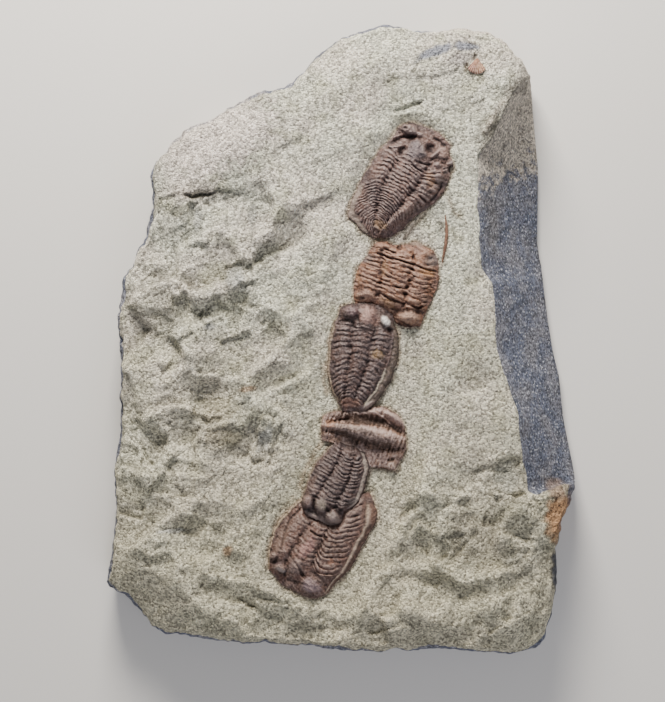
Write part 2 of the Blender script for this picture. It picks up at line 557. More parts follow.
THIRD_LINES = (
    (0.45, -0.8, ((-1.6, 5.9), (1.8, 5.5), (4.6, 5.1), (6.4, 4.0))),
    (0.4, 0.6, ((5.4, 4.6), (8.2, 5.0), (11.0, 4.2), (13.4, 3.4))),
)
THIRD_STAINS = (
    (14.0, -5.4, 2.9, 1.9, -20, "A68760", 0.65), (10.8, 9.0, 4.6, 3.6, -35, "BE9A8F", 0.75),
    (17.2, 6.9, 1.5, 2.3, 38, "DAD6D2", 0.95), (4.2, 10.8, 2.8, 2.1, 0, "94797C", 0.6),
    (3.4, -24.2, 4.2, 2.0, -5, "7E5F53", 0.85), (11.0, -25.0, 2.6, 1.1, 35, "B7ACA6", 0.8),
)
dark_shell = shell_finish("iron-stained calcite shell, dark", "#281E1E", "#514443", "#594641", "#80726F",
                          roughness=0.5)
add_trilobite("trilobite_third", "brown_shell", dark_shell, THIRD_ROWS, THIRD_FORMS, THIRD_LINES, THIRD_STAINS,
              bed=CHANNEL_LEVEL + 0.4, seed=23.0, rib_heights=(0.4, 0.34, 0.36), bows=(0.6, 0.9, 1.2),
              sweeps=(1.4, 1.5), rib_reach=(0.95, 0.84), fibres=(0, 0.15),
              rims=((1, -2, 16, 0.92, 0.05, 0.7), (1, -1, 15, 0.845, 0.022, 0.35), (-1, 0, 15, 0.97, 0.03, 0.3)),
              rim_stains=((1, -2, 17, 0.87, 1.0, "6B5E54", 0.75), (1, 7, 15, 0.82, 0.865, "CFC3AE", 0.8),
                          (-1, 0, 15, 0.93, 1.0, "A5927C", 0.7)))

# The fifth trilobite, head down to the left, with three knobs on its head and a light rim down its right side.
FIFTH_ROWS = (
    (-3.6, (-14.6, -64.0, 0.8), (-11.8, -67.4, 1.4), (-8.4, -68.4, 1.5), (-4.2, -70.4, 1.4), (0.4, -69.7, 0.8)),
    (-1.8, (-14.9, -61.6, 0.8), (-10.6, -63.4, 2.2), (-7.2, -64.8, 2.6), (-4.0, -66.0, 2.2), (1.4, -66.2, 0.8)),
    (0, (-14.0, -58.2, 0.8), (-9.2, -60.2, 3.8), (-5.6, -61.9, 4.8), (-1.9, -63.4, 3.8), (5.6, -62.7, 0.8)),
    (2, (-12.9, -55.2, 0.8), (-7.5, -57.1, 4.0), (-4.0, -58.8, 5.2), (-0.4, -60.2, 4.0), (8.0, -59.8, 0.8)),
    (4, (-11.9, -52.2, 0.8), (-5.8, -54.3, 4.0), (-2.6, -55.9, 5.2), (1.0, -57.2, 4.0), (9.1, -56.8, 0.8)),
    (6.5, (-10.6, -48.8, 0.8), (-3.6, -51.3, 3.9), (-0.7, -52.8, 5.1), (2.6, -54.1, 3.9), (10.0, -52.8, 0.8)),
    (9, (-8.8, -45.9, 0.8), (-1.7, -48.3, 3.6), (1.0, -49.8, 4.7), (3.8, -51.0, 3.6), (10.9, -49.2, 0.8)),
    (11.5, (-6.6, -43.2, 0.7), (-0.4, -45.2, 3.2), (2.2, -46.6, 4.0), (4.6, -47.4, 3.1), (10.6, -46.0, 0.7)),
    (14, (-4.0, -40.8, 0.6), (0.6, -42.2, 2.2), (3.0, -43.2, 2.8), (5.0, -43.8, 2.2), (9.0, -43.2, 0.6)),
    (15.5, (-1.6, -39.0, 0.5), (1.0, -39.6, 0.9), (3.0, -40.2, 1.0), (4.6, -40.8, 0.9), (6.8, -41.4, 0.5)),
)
FIFTH_FORMS = (
    (-12.5, -61.8, 2.0, 2.3, 0, 4.2), (-7.4, -63.6, 2.4, 2.6, 10, 4.0), (-2.9, -67.4, 2.7, 2.3, -30, 4.8),
    (-10.1, -62.6, 0.8, 2.4, 5, -1.3), (-10.8, -66.8, 2.8, 0.8, -30, 1.0),
    (-4.8, -65.0, 0.9, 2.0, 40, -1.0), (2.0, -64.6, 2.6, 0.9, 20, 0.7),
)
FIFTH_LINES = (
    (0.45, -0.4, ((-13.8, -58.6), (-10.6, -59.2), (-7.4, -60.8))),
    (0.45, -0.5, ((-4.6, -62.8), (-1.0, -64.4), (2.0, -65.6), (4.4, -64.6))),
)
FIFTH_STAINS = (
    (-7.4, -63.2, 2.2, 2.6, 10, "8A7F72", 0.8), (-2.9, -67.4, 2.4, 1.9, -20, "A09288", 0.7),
    (-12.6, -61.4, 1.8, 2.5, 0, "8A726A", 0.75), (-10.8, -66.8, 2.6, 0.8, -35, "A09490", 0.7),
    (-9.0, -57.0, 4.4, 1.4, -33, "A88F86", 0.6), (5.6, -61.0, 2.4, 1.4, 30, "9C8E88", 0.5),
    (-2.0, -53.0, 8.0, 10.0, -35, "7C6C69", 0.35), (-6.0, -68.8, 8.5, 2.6, -8, "9A8880", 0.7),
)
add_trilobite("trilobite_fifth", "brown_shell", dark_shell, FIFTH_ROWS, FIFTH_FORMS, FIFTH_LINES, FIFTH_STAINS,
              bed=CHANNEL_LEVEL + 1.2, seed=31.0, rib_heights=(0.32, 0.42, 0.44), bows=(0.3, 0.9, 1.6),
              sweeps=(1.2, 0.6), rib_reach=(0.94, 0.86), fibres=(-35, 0.15), rims=((1, 0, 13, 0.93, 0.05, 0.5),),
              rim_stains=((1, 0, 14, 0.86, 0.97, "B0A296", 0.7), (-1, 0, 14, 0.95, 1.0, "B5A38C", 0.6)))

# The second trilobite, head down and broken across, redder than the others, with wide split ribs.
SECOND_ROWS = (
    (-3.4, (5.6, 13.4, 0.5), (13.4, 11.2, 1.2), (18.6, 9.0, 1.2), (22.8, 5.4, 0.7), (29.8, 4.8, 0.5)),
    (-1.6, (5.0, 17.6, 0.8), (13.4, 15.0, 2.2), (18.8, 12.8, 2.4), (23.6, 10.4, 1.4), (32.0, 8.8, 0.6)),
    (0, (5.1, 21.4, 0.8), (14.6, 18.0, 3.8), (19.6, 15.5, 4.8), (24.0, 13.2, 3.8), (33.4, 12.6, 0.7)),
    (2, (5.8, 25.0, 0.8), (15.0, 21.4, 4.2), (20.0, 19.1, 5.6), (24.9, 17.0, 4.3), (35.2, 16.2, 0.7)),
    (4, (7.8, 28.8, 0.8), (15.6, 25.2, 4.3), (20.7, 22.9, 5.8), (26.1, 20.8, 4.5), (36.6, 19.4, 0.7)),
    (6, (9.6, 31.6, 0.8), (15.8, 28.9, 4.2), (21.2, 26.7, 5.7), (27.0, 24.9, 4.5), (37.4, 22.4, 0.7)),
    (8, (11.4, 34.0, 0.9), (15.8, 32.3, 4.2), (21.4, 30.3, 5.2), (27.3, 28.8, 4.2), (37.3, 25.6, 0.7)),
    (10, (12.4, 35.6, 1.2), (16.8, 34.8, 4.4), (21.6, 33.1, 4.2), (27.7, 32.6, 3.4), (36.9, 29.8, 0.7)),
    (11.6, (13.6, 37.0, 1.0), (17.6, 37.0, 2.0), (22.0, 35.6, 1.6), (27.6, 36.8, 1.2), (35.4, 33.8, 0.6)),
)
SECOND_FORMS = (
    (25.8, 8.2, 4.0, 2.3, -8, 4.2), (9.4, 16.6, 3.4, 2.0, -5, 1.9), (8.4, 15.9, 1.0, 0.8, 0, -1.4),
    (15.6, 36.0, 3.0, 1.2, -10, 1.0), (22.4, 34.6, 1.2, 1.0, 20, -1.6), (27.7, 31.4, 0.6, 0.9, 0, -1.4),
    (27.0, 26.7, 1.2, 0.5, -25, -1.5), (26.2, 22.3, 0.7, 0.5, 0, -1.3), (25.3, 19.9, 0.7, 0.6, 0, -1.4),
    (24.5, 17.4, 0.8, 0.6, -30, -1.4), (17.5, 14.0, 3.0, 1.6, -30, 0.7), (33.0, 33.4, 2.6, 1.4, -20, 0.9),
)
SECOND_LINES = (
    (0.55, -1.4, ((15.2, 17.6), (18.4, 15.6), (21.2, 14.6), (25.9, 13.4), (29.6, 12.0), (32.0, 12.8))),
    (0.5, -1.1, ((12.8, 33.4), (18.4, 31.2), (22.0, 30.4), (24.8, 29.4), (28.2, 28.4), (32.4, 26.7),
                 (36.8, 25.3))),
    (0.4, -0.9, ((16.4, 34.8), (19.2, 33.2), (21.8, 32.6))),
    (0.4, -0.7, ((14.6, 22.0), (18.4, 20.4), (23.8, 19.4))),
    (0.35, 0.6, ((13.0, 33.8), (18.4, 31.8), (22.0, 31.0), (24.8, 30.0), (28.2, 29.0))),
)
SECOND_STAINS = (
    (33.0, 25.4, 3.2, 1.4, -15, "B98A62", 0.85), (16.6, 26.6, 1.4, 3.6, 0, "B08A6A", 0.6),
    (16.2, 35.6, 3.2, 1.2, -10, "A8806F", 0.6), (26.2, 9.2, 3.6, 2.0, -8, "B39686", 0.7),
    (9.6, 17.4, 2.6, 1.5, 0, "AC8E84", 0.6), (35.0, 30.2, 2.6, 3.0, 0, "928885", 0.6),
    (9.6, 31.0, 2.6, 2.2, 0, "8B807E", 0.6), (18.0, 14.0, 3.2, 1.6, -30, "AD8764", 0.6),
    (20.4, 9.4, 1.4, 2.2, 0, "4A332A", 0.8), (29.6, 11.2, 3.2, 1.0, -20, "4A332A", 0.7),
    (6.4, 24.6, 1.0, 3.0, 10, "B0825F", 0.6), (29.0, 36.6, 5.4, 1.1, -10, "C2AC98", 0.6),
)
red_shell = shell_finish("iron-stained calcite shell, red brown", "#3A2620", "#795E53", "#805B47", "#A18473",
                         roughness=0.6)
add_trilobite("trilobite_second", "red_shell", red_shell, SECOND_ROWS, SECOND_FORMS, SECOND_LINES, SECOND_STAINS,
              bed=CHANNEL_LEVEL, seed=41.0, rib_heights=(0.38, 0.42, 0.4), bows=(0.2, 0.3, 0.8),
              sweeps=(-0.8, 0.3), rib_reach=(0.96, 0.97), fibres=(-20, 0.4))

# The fourth trilobite, crumpled under its neighbours: a raised roll over a hollow, and a plate on the right.
FOURTH_ROWS = (
    (0, (-4.8, -27.8, 0.6), (1.0, -27.2, 0.8), (9.0, -26.2, 1.4), (15.6, -25.2, 1.8), (21.4, -28.2, 1.6)),
    (1, (-6.2, -29.2, 1.4), (0.8, -28.6, 1.2), (9.0, -27.6, 1.6), (16.6, -27.8, 4.0), (24.2, -32.2, 3.4)),
    (2, (-6.8, -30.6, 2.0), (0.6, -30.2, 1.0), (8.8, -30.2, 0.4), (16.6, -31.0, 0.6), (24.8, -35.6, 1.4)),
    (2.8, (-7.0, -31.6, 2.4), (0.6, -31.6, 1.8), (8.8, -31.9, 1.4), (17.0, -33.0, 1.6), (24.9, -37.0, 1.8)),
    (3.6, (-7.1, -32.4, 3.0), (0.6, -32.6, 5.0), (8.8, -33.7, 6.0), (17.0, -35.4, 5.8), (24.9, -38.0, 3.0)),
    (4.4, (-7.2, -33.1, 2.8), (0.4, -34.2, 5.4), (8.6, -36.4, 6.4), (17.0, -38.4, 6.0), (25.0, -39.2, 2.8)),
    (5.2, (-7.3, -33.9, 1.6), (0.2, -35.8, 1.4), (8.4, -39.0, 1.2), (17.0, -41.2, 1.2), (25.0, -41.0, 1.2)),
    (6, (-7.4, -35.0, 1.6), (-0.2, -36.8, 1.8), (8.4, -40.9, 1.6), (17.0, -42.8, 2.0), (24.4, -42.8, 1.4)),
    (7, (-7.4, -36.4, 1.4), (-0.8, -38.6, 2.0), (8.4, -43.8, 2.2), (17.0, -45.2, 2.4), (22.8, -46.0, 1.2)),
    (8, (-7.0, -38.0, 0.6), (-1.4, -40.2, 1.6), (8.4, -47.4, 1.4), (15.4, -49.0, 1.4), (20.8, -49.8, 0.8)),
)
FOURTH_FORMS = (
    (19.4, -48.2, 1.7, 2.0, 0, 1.6), (19.0, -45.8, 1.6, 1.0, 20, -1.2), (15.4, -49.6, 2.4, 1.0, 0, -1.6),
    (-4.6, -35.8, 2.0, 1.4, 0, 0.8), (21.0, -29.6, 2.6, 2.4, -30, 0.8), (16.8, -27.6, 2.4, 1.2, -25, -0.8),
)
FOURTH_LINES = (
    (0.4, 0.9, ((6.0, -27.6), (10.5, -26.7), (13.6, -28.0), (17.2, -30.3), (19.8, -33.0))),
    (0.5, -0.9, ((-5.6, -32.2), (-1.0, -30.6), (4.0, -30.2))),
)
FOURTH_STAINS = (
    (-3.6, -31.4, 2.6, 1.2, 0, "B98E74", 0.7), (7.0, -29.8, 9.6, 1.8, -6, "3E2C24", 0.9),
    (20.6, -30.2, 3.4, 3.6, 0, "A3867C", 0.6), (9.0, -36.4, 13.0, 2.4, -14, "4E403B", 0.75),
    (-4.0, -32.6, 1.8, 1.0, 0, "A9806A", 0.8),
    (19.6, -48.0, 1.8, 1.8, 0, "B29C90", 0.6), (4.0, -40.6, 6.0, 2.2, -30, "84736E", 0.5),
)
crumpled_shell = shell_finish("iron-stained calcite shell, crumpled", "#3C2C23", "#857069", "#8E7161", "#AE9991",
                              roughness=0.6)
add_trilobite("trilobite_fourth", "red_shell", crumpled_shell, FOURTH_ROWS, FOURTH_FORMS, FOURTH_LINES,
              FOURTH_STAINS, bed=CHANNEL_LEVEL, seed=47.0, rib_heights=(0.0, 0.0, 0.0), bows=(0.0, 0.0, 0.0),
              sweeps=(0.0, 0.0), rib_reach=(0.9, 0.9), fibres=(72, 0.55))

# The bottom trilobite, head down to the left, the widest: broad rims, strong ribs on its right, rough on its left.
BOTTOM_ROWS = (
    (-3.8, (-27.0, -87.4, 0.5), (-21.8, -93.2, 0.8), (-16.6, -96.2, 1.0), (-11.4, -98.2, 0.9), (-6.4, -97.6, 0.6)),
    (-1.9, (-27.6, -83.2, 0.8), (-21.2, -87.4, 2.0), (-17.2, -89.6, 3.2), (-12.0, -91.8, 2.4), (-2.2, -93.2, 0.8)),
    (0, (-27.2, -79.4, 0.8), (-19.4, -82.4, 3.8), (-15.4, -84.6, 4.6), (-10.8, -86.8, 3.8), (2.4, -88.4, 0.8)),
    (2, (-26.3, -75.4, 0.8), (-17.6, -79.2, 4.0), (-13.7, -81.2, 5.0), (-9.6, -83.0, 4.0), (5.4, -84.0, 0.8)),
    (4, (-24.9, -71.6, 0.8), (-15.8, -76.2, 4.0), (-12.0, -78.0, 5.0), (-8.4, -79.4, 4.0), (7.6, -80.0, 0.8)),
    (6, (-22.8, -68.2, 0.8), (-13.8, -73.2, 3.9), (-10.3, -74.8, 4.8), (-7.0, -76.0, 4.0), (9.6, -76.2, 0.8)),
    (8, (-20.2, -65.2, 0.8), (-11.8, -70.2, 3.6), (-8.4, -71.6, 4.4), (-5.4, -72.6, 3.9), (11.8, -72.4, 0.8)),
    (10, (-17.4, -62.6, 0.7), (-9.6, -67.0, 3.2), (-6.4, -68.4, 3.8), (-3.6, -69.2, 3.6), (13.7, -68.4, 0.8)),
    (12, (-15.0, -60.6, 0.6), (-7.6, -63.8, 2.6), (-4.2, -65.0, 3.0), (-1.2, -65.6, 3.0), (13.8, -64.4, 0.8)),
    (15, (-12.6, -58.6, 0.5), (-5.0, -58.8, 1.6), (-0.6, -59.2, 1.8), (3.2, -59.2, 1.8), (10.9, -58.0, 0.6)),
)
BOTTOM_FORMS = (
    (-23.0, -86.8, 2.6, 1.6, -20, 3.2), (-25.8, -82.2, 1.6, 1.3, 20, 2.0), (-17.4, -86.6, 2.6, 3.6, -35, 1.5),
    (-17.4, -92.0, 3.0, 0.8, -20, -0.7), (-11.2, -93.8, 4.4, 3.2, -30, 2.4),
    (-20.6, -87.8, 0.7, 2.2, -20, -0.9), (-14.2, -89.6, 2.4, 0.8, -50, -1.0), (-9.6, -89.0, 1.4, 1.6, 0, -0.9),
    (-14.0, -79.6, 1.6, 4.0, -35, 0.6), (-2.6, -86.4, 2.6, 1.4, -30, 0.5),
)
BOTTOM_LINES = (
    (0.5, -0.7, ((-13.5, -62.6), (-19.2, -68.4), (-21.2, -73.4), (-22.6, -79.6))),
    (0.35, 0.5, ((-19.2, -84.4), (-17.0, -86.6), (-15.4, -89.2))),
    (0.35, 0.5, ((-17.4, -83.4), (-15.4, -85.6), (-13.8, -88.2))),
    (0.35, -0.5, ((-18.2, -84.0), (-16.2, -86.2), (-14.6, -88.8))),
    (0.45, -0.8, ((-11.8, -72.4), (-8.8, -74.4), (-4.4, -75.4))),
)
BOTTOM_STAINS = (
    (-12.8, -79.2, 2.4, 5.2, -35, "AE877E", 0.8), (-3.6, -84.4, 1.5, 1.3, 0, "B37F66", 0.6),
    (-22.6, -75.4, 1.8, 8.4, -25, "8A7266", 0.65), (-11.2, -93.6, 4.0, 3.0, -30, "978386", 0.75),
    (-17.4, -86.2, 2.6, 3.4, -35, "9A8782", 0.6), (-22.6, -87.6, 2.4, 0.8, -25, "ADA29E", 0.8),
    (-23.6, -85.4, 1.8, 1.0, -15, "5E4E50", 0.7),
    (11.6, -65.4, 2.4, 3.4, 0, "7A5B4A", 0.75), (-4.0, -79.4, 5.0, 4.0, -30, "6B564A", 0.3),
)
brown_shell = shell_finish("iron-stained calcite shell, brown", "#33241F", "#67544E", "#6D5248", "#907C73",
                           roughness=0.6)
add_trilobite("trilobite_bottom", "brown_shell", brown_shell, BOTTOM_ROWS, BOTTOM_FORMS, BOTTOM_LINES,
              BOTTOM_STAINS, bed=CHANNEL_LEVEL, seed=53.0, rib_heights=(0.18, 0.28, 0.5), bows=(0.8, 0.8, 4.2),
              sweeps=(1.0, 0.9), rib_reach=(0.74, 0.9), fibres=(-50, 0.25),
              rims=((1, -2, 12, 0.92, 0.028, 0.6), (-1, -3, 12, 0.975, 0.025, 0.4)),
              rim_stains=((1, -3, 13, 0.895, 0.935, "B9A692", 0.8), (1, -3, 13, 0.94, 1.0, "6A5044", 0.7),
                          (-1, -3, 13, 0.95, 1.0, "BBA78C", 0.8)))

# The slab, a block of greenish grey siltstone. It was split from its bed along natural joints: a weathered dark
# joint face is left on the right. The face was struck down in flakes round a channel, which was scraped smooth.
# The slab's outline and the rim of its face, in pairs: outline x, y and level, rim x, y and how far the face has
# rounded down to it.
TOP_EDGE = (
    (-71.0, 68.5, 22, -68.5, 67.0, 3.5),
    (-60.0, 80.0, 22, -57.8, 77.5, 3.5),
    (-50.0, 85.0, 22, -48.5, 82.5, 3.0),
    (-39.0, 90.8, 22, -37.8, 88.4, 3.0),
    (-30.0, 95.3, 22, -28.4, 92.6, 3.0),
    (-21.7, 96.7, 22, -20.3, 94.1, 3.0),
    (-14.0, 103.0, 21, -12.1, 100.2, 3.5),
    (-9.0, 109.0, 21, -6.8, 106.2, 3.5),
    (0.8, 115.8, 22, 2.5, 112.8, 3.5),
    (6.7, 118.0, 23, 7.8, 115.5, 3.0),
    (16.7, 120.5, 24, 16.9, 118.3, 3.0),
    (23.3, 119.7, 25, 23.3, 118.0, 3.0),
    (33.3, 118.3, 25, 33.3, 116.6, 3.0),
    (48.3, 118.8, 25, 47.5, 116.8, 3.0),
    (56.7, 117.8, 24, 55.6, 115.4, 3.5),
    (62.5, 114.0, 22, 61.0, 111.5, 3.5),
    (69.7, 106.7, 18, 67.7, 105.3, 3.0),
)
RIGHT_EDGE = (
    (69.7, 106.7, 18, 67.7, 105.3, 3.0),
    (72.7, 100.8, 10, 68.2, 99.5, 1.2),
    (73.0, 92.0, 6, 64.6, 91.8, 0.3),
    (73.6, 84.0, 5, 60.6, 83.6, 0.0),
    (74.2, 76.7, 5, 57.2, 76.4, 0.0),
    (75.3, 66.0, 4, 51.8, 70.0, 0.0),
    (75.3, 56.7, 4, 51.5, 57.0, 0.0),
    (75.0, 36.7, 4, 52.3, 36.0, 0.0),
    (76.6, 28.0, 4, 53.4, 26.5, 0.0),
    (77.5, 21.0, 4, 57.2, 21.5, 0.0),
    (79.2, 6.7, 4, 58.7, 7.0, 0.0),
    (81.0, -4.0, 4, 59.2, -4.0, 0.0),
    (83.3, -13.3, 4, 62.1, -13.1, 0.0),
    (85.0, -30.0, 4, 67.2, -29.5, 0.0),
    (87.0, -40.0, 5, 68.2, -40.0, 0.0),
    (88.6, -48.0, 6, 69.7, -49.5, 0.0),
    (89.4, -53.0, 8, 70.8, -58.0, 0.0),
    (89.9, -56.0, 12, 76.0, -61.2, 1.0),
    (89.6, -58.6, 15, 82.0, -60.5, 2.0),
    (87.2, -65.0, 19, 84.9, -65.6, 3.0),
    (85.3, -70.0, 19, 83.3, -70.6, 3.0),
    (82.5, -80.0, 18, 80.6, -80.0, 3.0),
    (83.3, -93.3, 16, 80.9, -93.1, 3.5),
    (81.3, -103.3, 18, 78.9, -102.8, 3.5),
    (78.0, -115.0, 20, 75.5, -112.8, 4.0),
)
BOTTOM_EDGE = (
    (78.0, -115.0, 20, 75.5, -112.8, 4.0),
    (75.0, -118.3, 20, 72.8, -115.9, 4.0),
    (66.7, -120.0, 20, 66.0, -117.8, 3.5),
    (51.7, -120.0, 20, 51.3, -117.8, 3.5),
    (41.7, -118.7, 21, 41.6, -116.4, 3.5),
    (26.7, -118.7, 21, 26.6, -116.4, 3.5),
    (10.0, -119.5, 21, 10.0, -117.0, 3.5),
    (-6.7, -118.3, 20, -6.6, -115.6, 3.5),
    (-20.0, -117.0, 19, -20.0, -114.2, 3.5),
    (-30.0, -116.7, 18, -29.7, -113.8, 3.0),
    (-45.0, -116.0, 17, -44.4, -112.9, 3.0),
    (-55.0, -114.0, 16, -53.8, -111.2, 3.0),
    (-65.8, -113.0, 15, -64.1, -110.2, 2.5),
    (-72.5, -110.0, 14, -70.0, -107.2, 2.5),
    (-80.3, -100.0, 15, -77.9, -97.8, 2.5),
    (-90.0, -93.3, 17, -86.9, -91.3, 3.0),
)
LEFT_EDGE = (
    (-90.0, -93.3, 17, -86.9, -91.3, 3.0),
    (-87.5, -81.7, 20, -85.3, -81.3, 3.5),
    (-86.3, -70.0, 21, -84.3, -70.0, 3.5),
    (-86.7, -51.7, 22, -84.5, -51.6, 3.5),
    (-85.0, -36.7, 22, -82.8, -36.6, 3.5),
    (-84.7, -20.0, 22, -82.4, -20.0, 3.5),
    (-84.7, -3.3, 22, -82.4, -3.1, 3.5),
    (-85.8, 6.7, 22, -83.4, 6.6, 3.5),
    (-83.3, 23.3, 22, -80.9, 22.8, 3.5),
    (-80.0, 30.0, 22, -77.8, 29.4, 3.5),
    (-75.0, 39.0, 22, -72.8, 38.4, 3.5),
    (-72.0, 51.7, 22, -69.8, 51.3, 3.5),
    (-73.0, 62.5, 22, -70.5, 61.6, 3.5),
    (-71.0, 68.5, 22, -68.5, 67.0, 3.5),
)
CHANNEL = (
    (20.7, 84.2), (12.0, 72.0), (3.6, 56.8), (-2.1, 41.6), (-5.9, 28.3), (-11.6, 11.2), (-15.4, -4.0),
    (-19.2, -23.0), (-21.1, -38.2), (-24.9, -53.4), (-29.8, -68.6), (-34.4, -81.9), (-33.0, -93.3),
    (-19.2, -101.5), (-0.2, -107.0), (9.3, -101.0), (16.9, -89.0), (22.6, -74.0), (28.3, -58.0),
    (34.0, -38.2), (40.0, -20.0), (45.0, 5.0), (48.0, 30.0), (50.0, 60.0), (46.0, 80.0), (34.0, 88.0),
)
# How wide the channel's banks are at the top and at the bottom of the slab
CHANNEL_BANKS = (11.0, 7.0)
# Ledges: drop to the right of their line, how far the ground takes to come back up, points
LEDGES = (
    (-0.9, 16.0, ((-72.0, 54.5), (-62.0, 54.0), (-51.5, 56.0), (-40.0, 56.5))),
    (2.0, 10.0, ((-58.0, -27.0), (-50.0, -30.5), (-42.0, -28.0), (-35.0, -22.0))),
    (1.8, 12.0, ((-80.0, -30.0), (-72.0, -33.0), (-66.0, -38.0), (-68.0, -45.0), (-76.0, -52.0))),
    (1.6, 8.0, ((-36.0, -31.0), (-30.0, -36.0), (-28.5, -46.0), (-24.0, -42.0), (-20.0, -34.0))),
    (1.6, 12.0, ((32.0, -70.0), (37.0, -76.0), (41.6, -82.0), (47.0, -78.0), (54.0, -70.0))),
    (1.6, 12.0, ((24.0, -88.0), (34.0, -90.0), (44.0, -93.5), (56.0, -92.0))),
    (2.0, 12.0, ((-40.0, -95.0), (-30.0, -103.0), (-18.0, -108.0), (-2.0, -109.5))),
    (1.5, 10.0, ((36.0, -47.0), (46.0, -50.0), (58.0, -48.0), (66.0, -51.0))),
    (0.6, 12.0, ((28.0, 90.0), (40.0, 87.0), (52.0, 90.0), (64.0, 97.0))),
    (1.6, 7.0, ((-61.0, 18.4), (-57.0, 15.0), (-52.5, 12.0), (-49.2, 9.0))),
    (1.8, 6.0, ((-47.0, 21.0), (-43.0, 24.0), (-38.4, 22.6), (-34.0, 20.0))),
    (1.4, 5.0, ((-27.0, 6.0), (-22.4, 2.6), (-19.6, 0.4))),
    (1.0, 4.0, ((-46.6, -1.6), (-40.0, 1.2), (-33.6, 4.0))),
    (1.4, 5.0, ((-76.4, -31.0), (-70.6, -36.2), (-65.6, -35.6))),
    (1.8, 6.0, ((-63.6, -45.0), (-61.2, -46.3), (-56.0, -47.0))),
    (1.5, 5.0, ((-62.6, -55.4), (-60.0, -57.0), (-57.6, -59.6))),
    (1.2, 6.0, ((-43.6, -40.0), (-38.0, -41.0), (-35.0, -42.6), (-29.8, -47.0))),
    (0.5, 5.0, ((33.6, 87.4), (40.6, 88.0), (46.8, 90.0), (50.2, 92.8), (54.0, 95.2), (58.6, 95.4))),
    (0.8, 4.0, ((26.6, 99.6), (39.4, 100.6), (43.6, 102.8), (48.0, 101.2))),
    (1.6, 5.0, ((64.0, -72.4), (70.6, -75.0), (77.2, -77.6), (81.8, -80.0))),
    (1.2, 5.0, ((43.8, -93.4), (49.6, -94.0), (53.6, -93.4), (57.0, -91.2))),
    (1.0, 4.0, ((-54.0, -92.4), (-45.4, -93.6), (-33.0, -91.8))),
)
# Cracks and fins: half width, rise, points
CRACKS = (
    (0.7, -2.2, ((-60.0, 54.6), (-56.0, 54.8), (-52.0, 55.2), (-48.6, 55.9))),
    (0.4, -0.9, ((-70.0, 54.4), (-60.0, 54.6), (-49.4, 55.8), (-43.2, 56.4), (-33.6, 54.5))),
    (0.6, -2.0, ((20.4, 87.2), (23.6, 87.5), (26.6, 88.3), (31.6, 89.8))),
    (0.4, -0.9, ((42.4, -116.0), (40.0, -112.0), (36.0, -108.0))),
    (0.6, -1.4, ((-76.4, -38.2), (-74.4, -43.6), (-70.6, -49.0))),
    (1.1, 1.2, ((60.6, 91.0), (57.4, 84.0), (54.2, 77.4))),
    (0.4, -0.9, ((58.4, 89.6), (56.4, 85.6), (54.4, 81.0))),
    (0.8, 0.8, ((-22.4, -38.0), (-26.4, -53.4), (-31.4, -68.6), (-35.6, -81.9), (-34.0, -93.3), (-27.0, -98.0))),
    (0.8, 0.7, ((-1.0, -108.2), (9.6, -102.4), (17.8, -89.4), (23.6, -74.2), (29.2, -58.0), (34.6, -40.0))),
    (0.6, 0.5, ((38.6, 46.4), (39.1, 43.5), (39.2, 40.0), (38.8, 36.0), (38.0, 32.0), (36.8, 27.4))),
    (0.9, -1.6, ((50.2, 107.4), (51.2, 107.8), (52.2, 107.4))),
    (0.5, -1.0, ((48.2, 105.4), (47.4, 103.4), (47.8, 101.4))),
    (0.4, -0.9, ((47.6, 100.9), (51.6, 100.6), (55.4, 101.4))),
    (0.6, 1.0, ((-46.4, -1.0), (-40.0, 2.0), (-33.6, 4.6))),
    (0.5, 0.9, ((31.9, 50.0), (26.4, 43.4), (22.6, 37.2))),
    (0.5, -0.7, ((33.6, 49.0), (28.2, 43.0), (24.4, 37.4))),
    (0.4, 0.6, ((-30.0, -95.6), (-24.0, -98.6), (-15.4, -99.9), (-8.0, -99.6))),
    (0.4, -0.6, ((-31.0, -96.6), (-24.4, -99.8), (-15.4, -101.1), (-7.0, -100.6))),
    (0.5, -0.8, ((-41.0, -106.6), (-45.4, -110.2), (-48.6, -113.0))),
)
# Lumps and hollows: centre x, y, half length, half width, turn, height
LUMPS = (
    (-38.0, 72.0, 34.0, 20.0, 32.0, 2.6), (24.0, 103.0, 30.0, 12.0, -4.0, 1.6),
    (-57.0, 25.0, 12.0, 9.0, -30.0, 2.8), (-37.0, 24.0, 12.0, 9.0, 30.0, 2.8),
    (-60.0, -2.0, 15.0, 10.0, 10.0, 1.6), (-48.0, -18.0, 12.0, 9.0, 0.0, -2.6),
    (-72.0, 10.0, 12.0, 18.0, 0.0, -1.4), (-30.0, -20.0, 9.0, 14.0, 12.0, 1.4),
    (-63.0, -48.0, 14.0, 10.0, 40.0, 2.0), (-45.0, -60.0, 16.0, 12.0, -20.0, 1.2),
    (-60.0, -76.0, 15.0, 10.0, 15.0, -1.4), (55.0, -28.0, 12.0, 9.0, -20.0, 1.6),
    (42.0, -58.0, 12.0, 9.0, 10.0, 1.2), (62.0, -75.0, 14.0, 10.0, -20.0, 1.4),
    (58.0, -104.0, 16.0, 8.0, 5.0, 1.8), (30.0, -104.0, 12.0, 8.0, -10.0, 1.4),
    (57.0, 84.0, 4.0, 9.0, -30.0, 1.6),
)
# Plates left standing by the flakes struck off round them: turned boxes x, y, half length, half width, turn, rise
PLATES = (
    (-70.4, -48.6, 8.6, 3.6, 52.0, 1.3), (-28.6, -37.6, 7.8, 3.4, 72.0, 1.5), (-53.6, 16.0, 5.0, 3.6, 60.0, 1.2),
    (-60.0, -36.0, 6.4, 5.0, 20.0, 0.8), (56.0, 90.0, 3.2, 2.0, -40.0, 0.7),
)
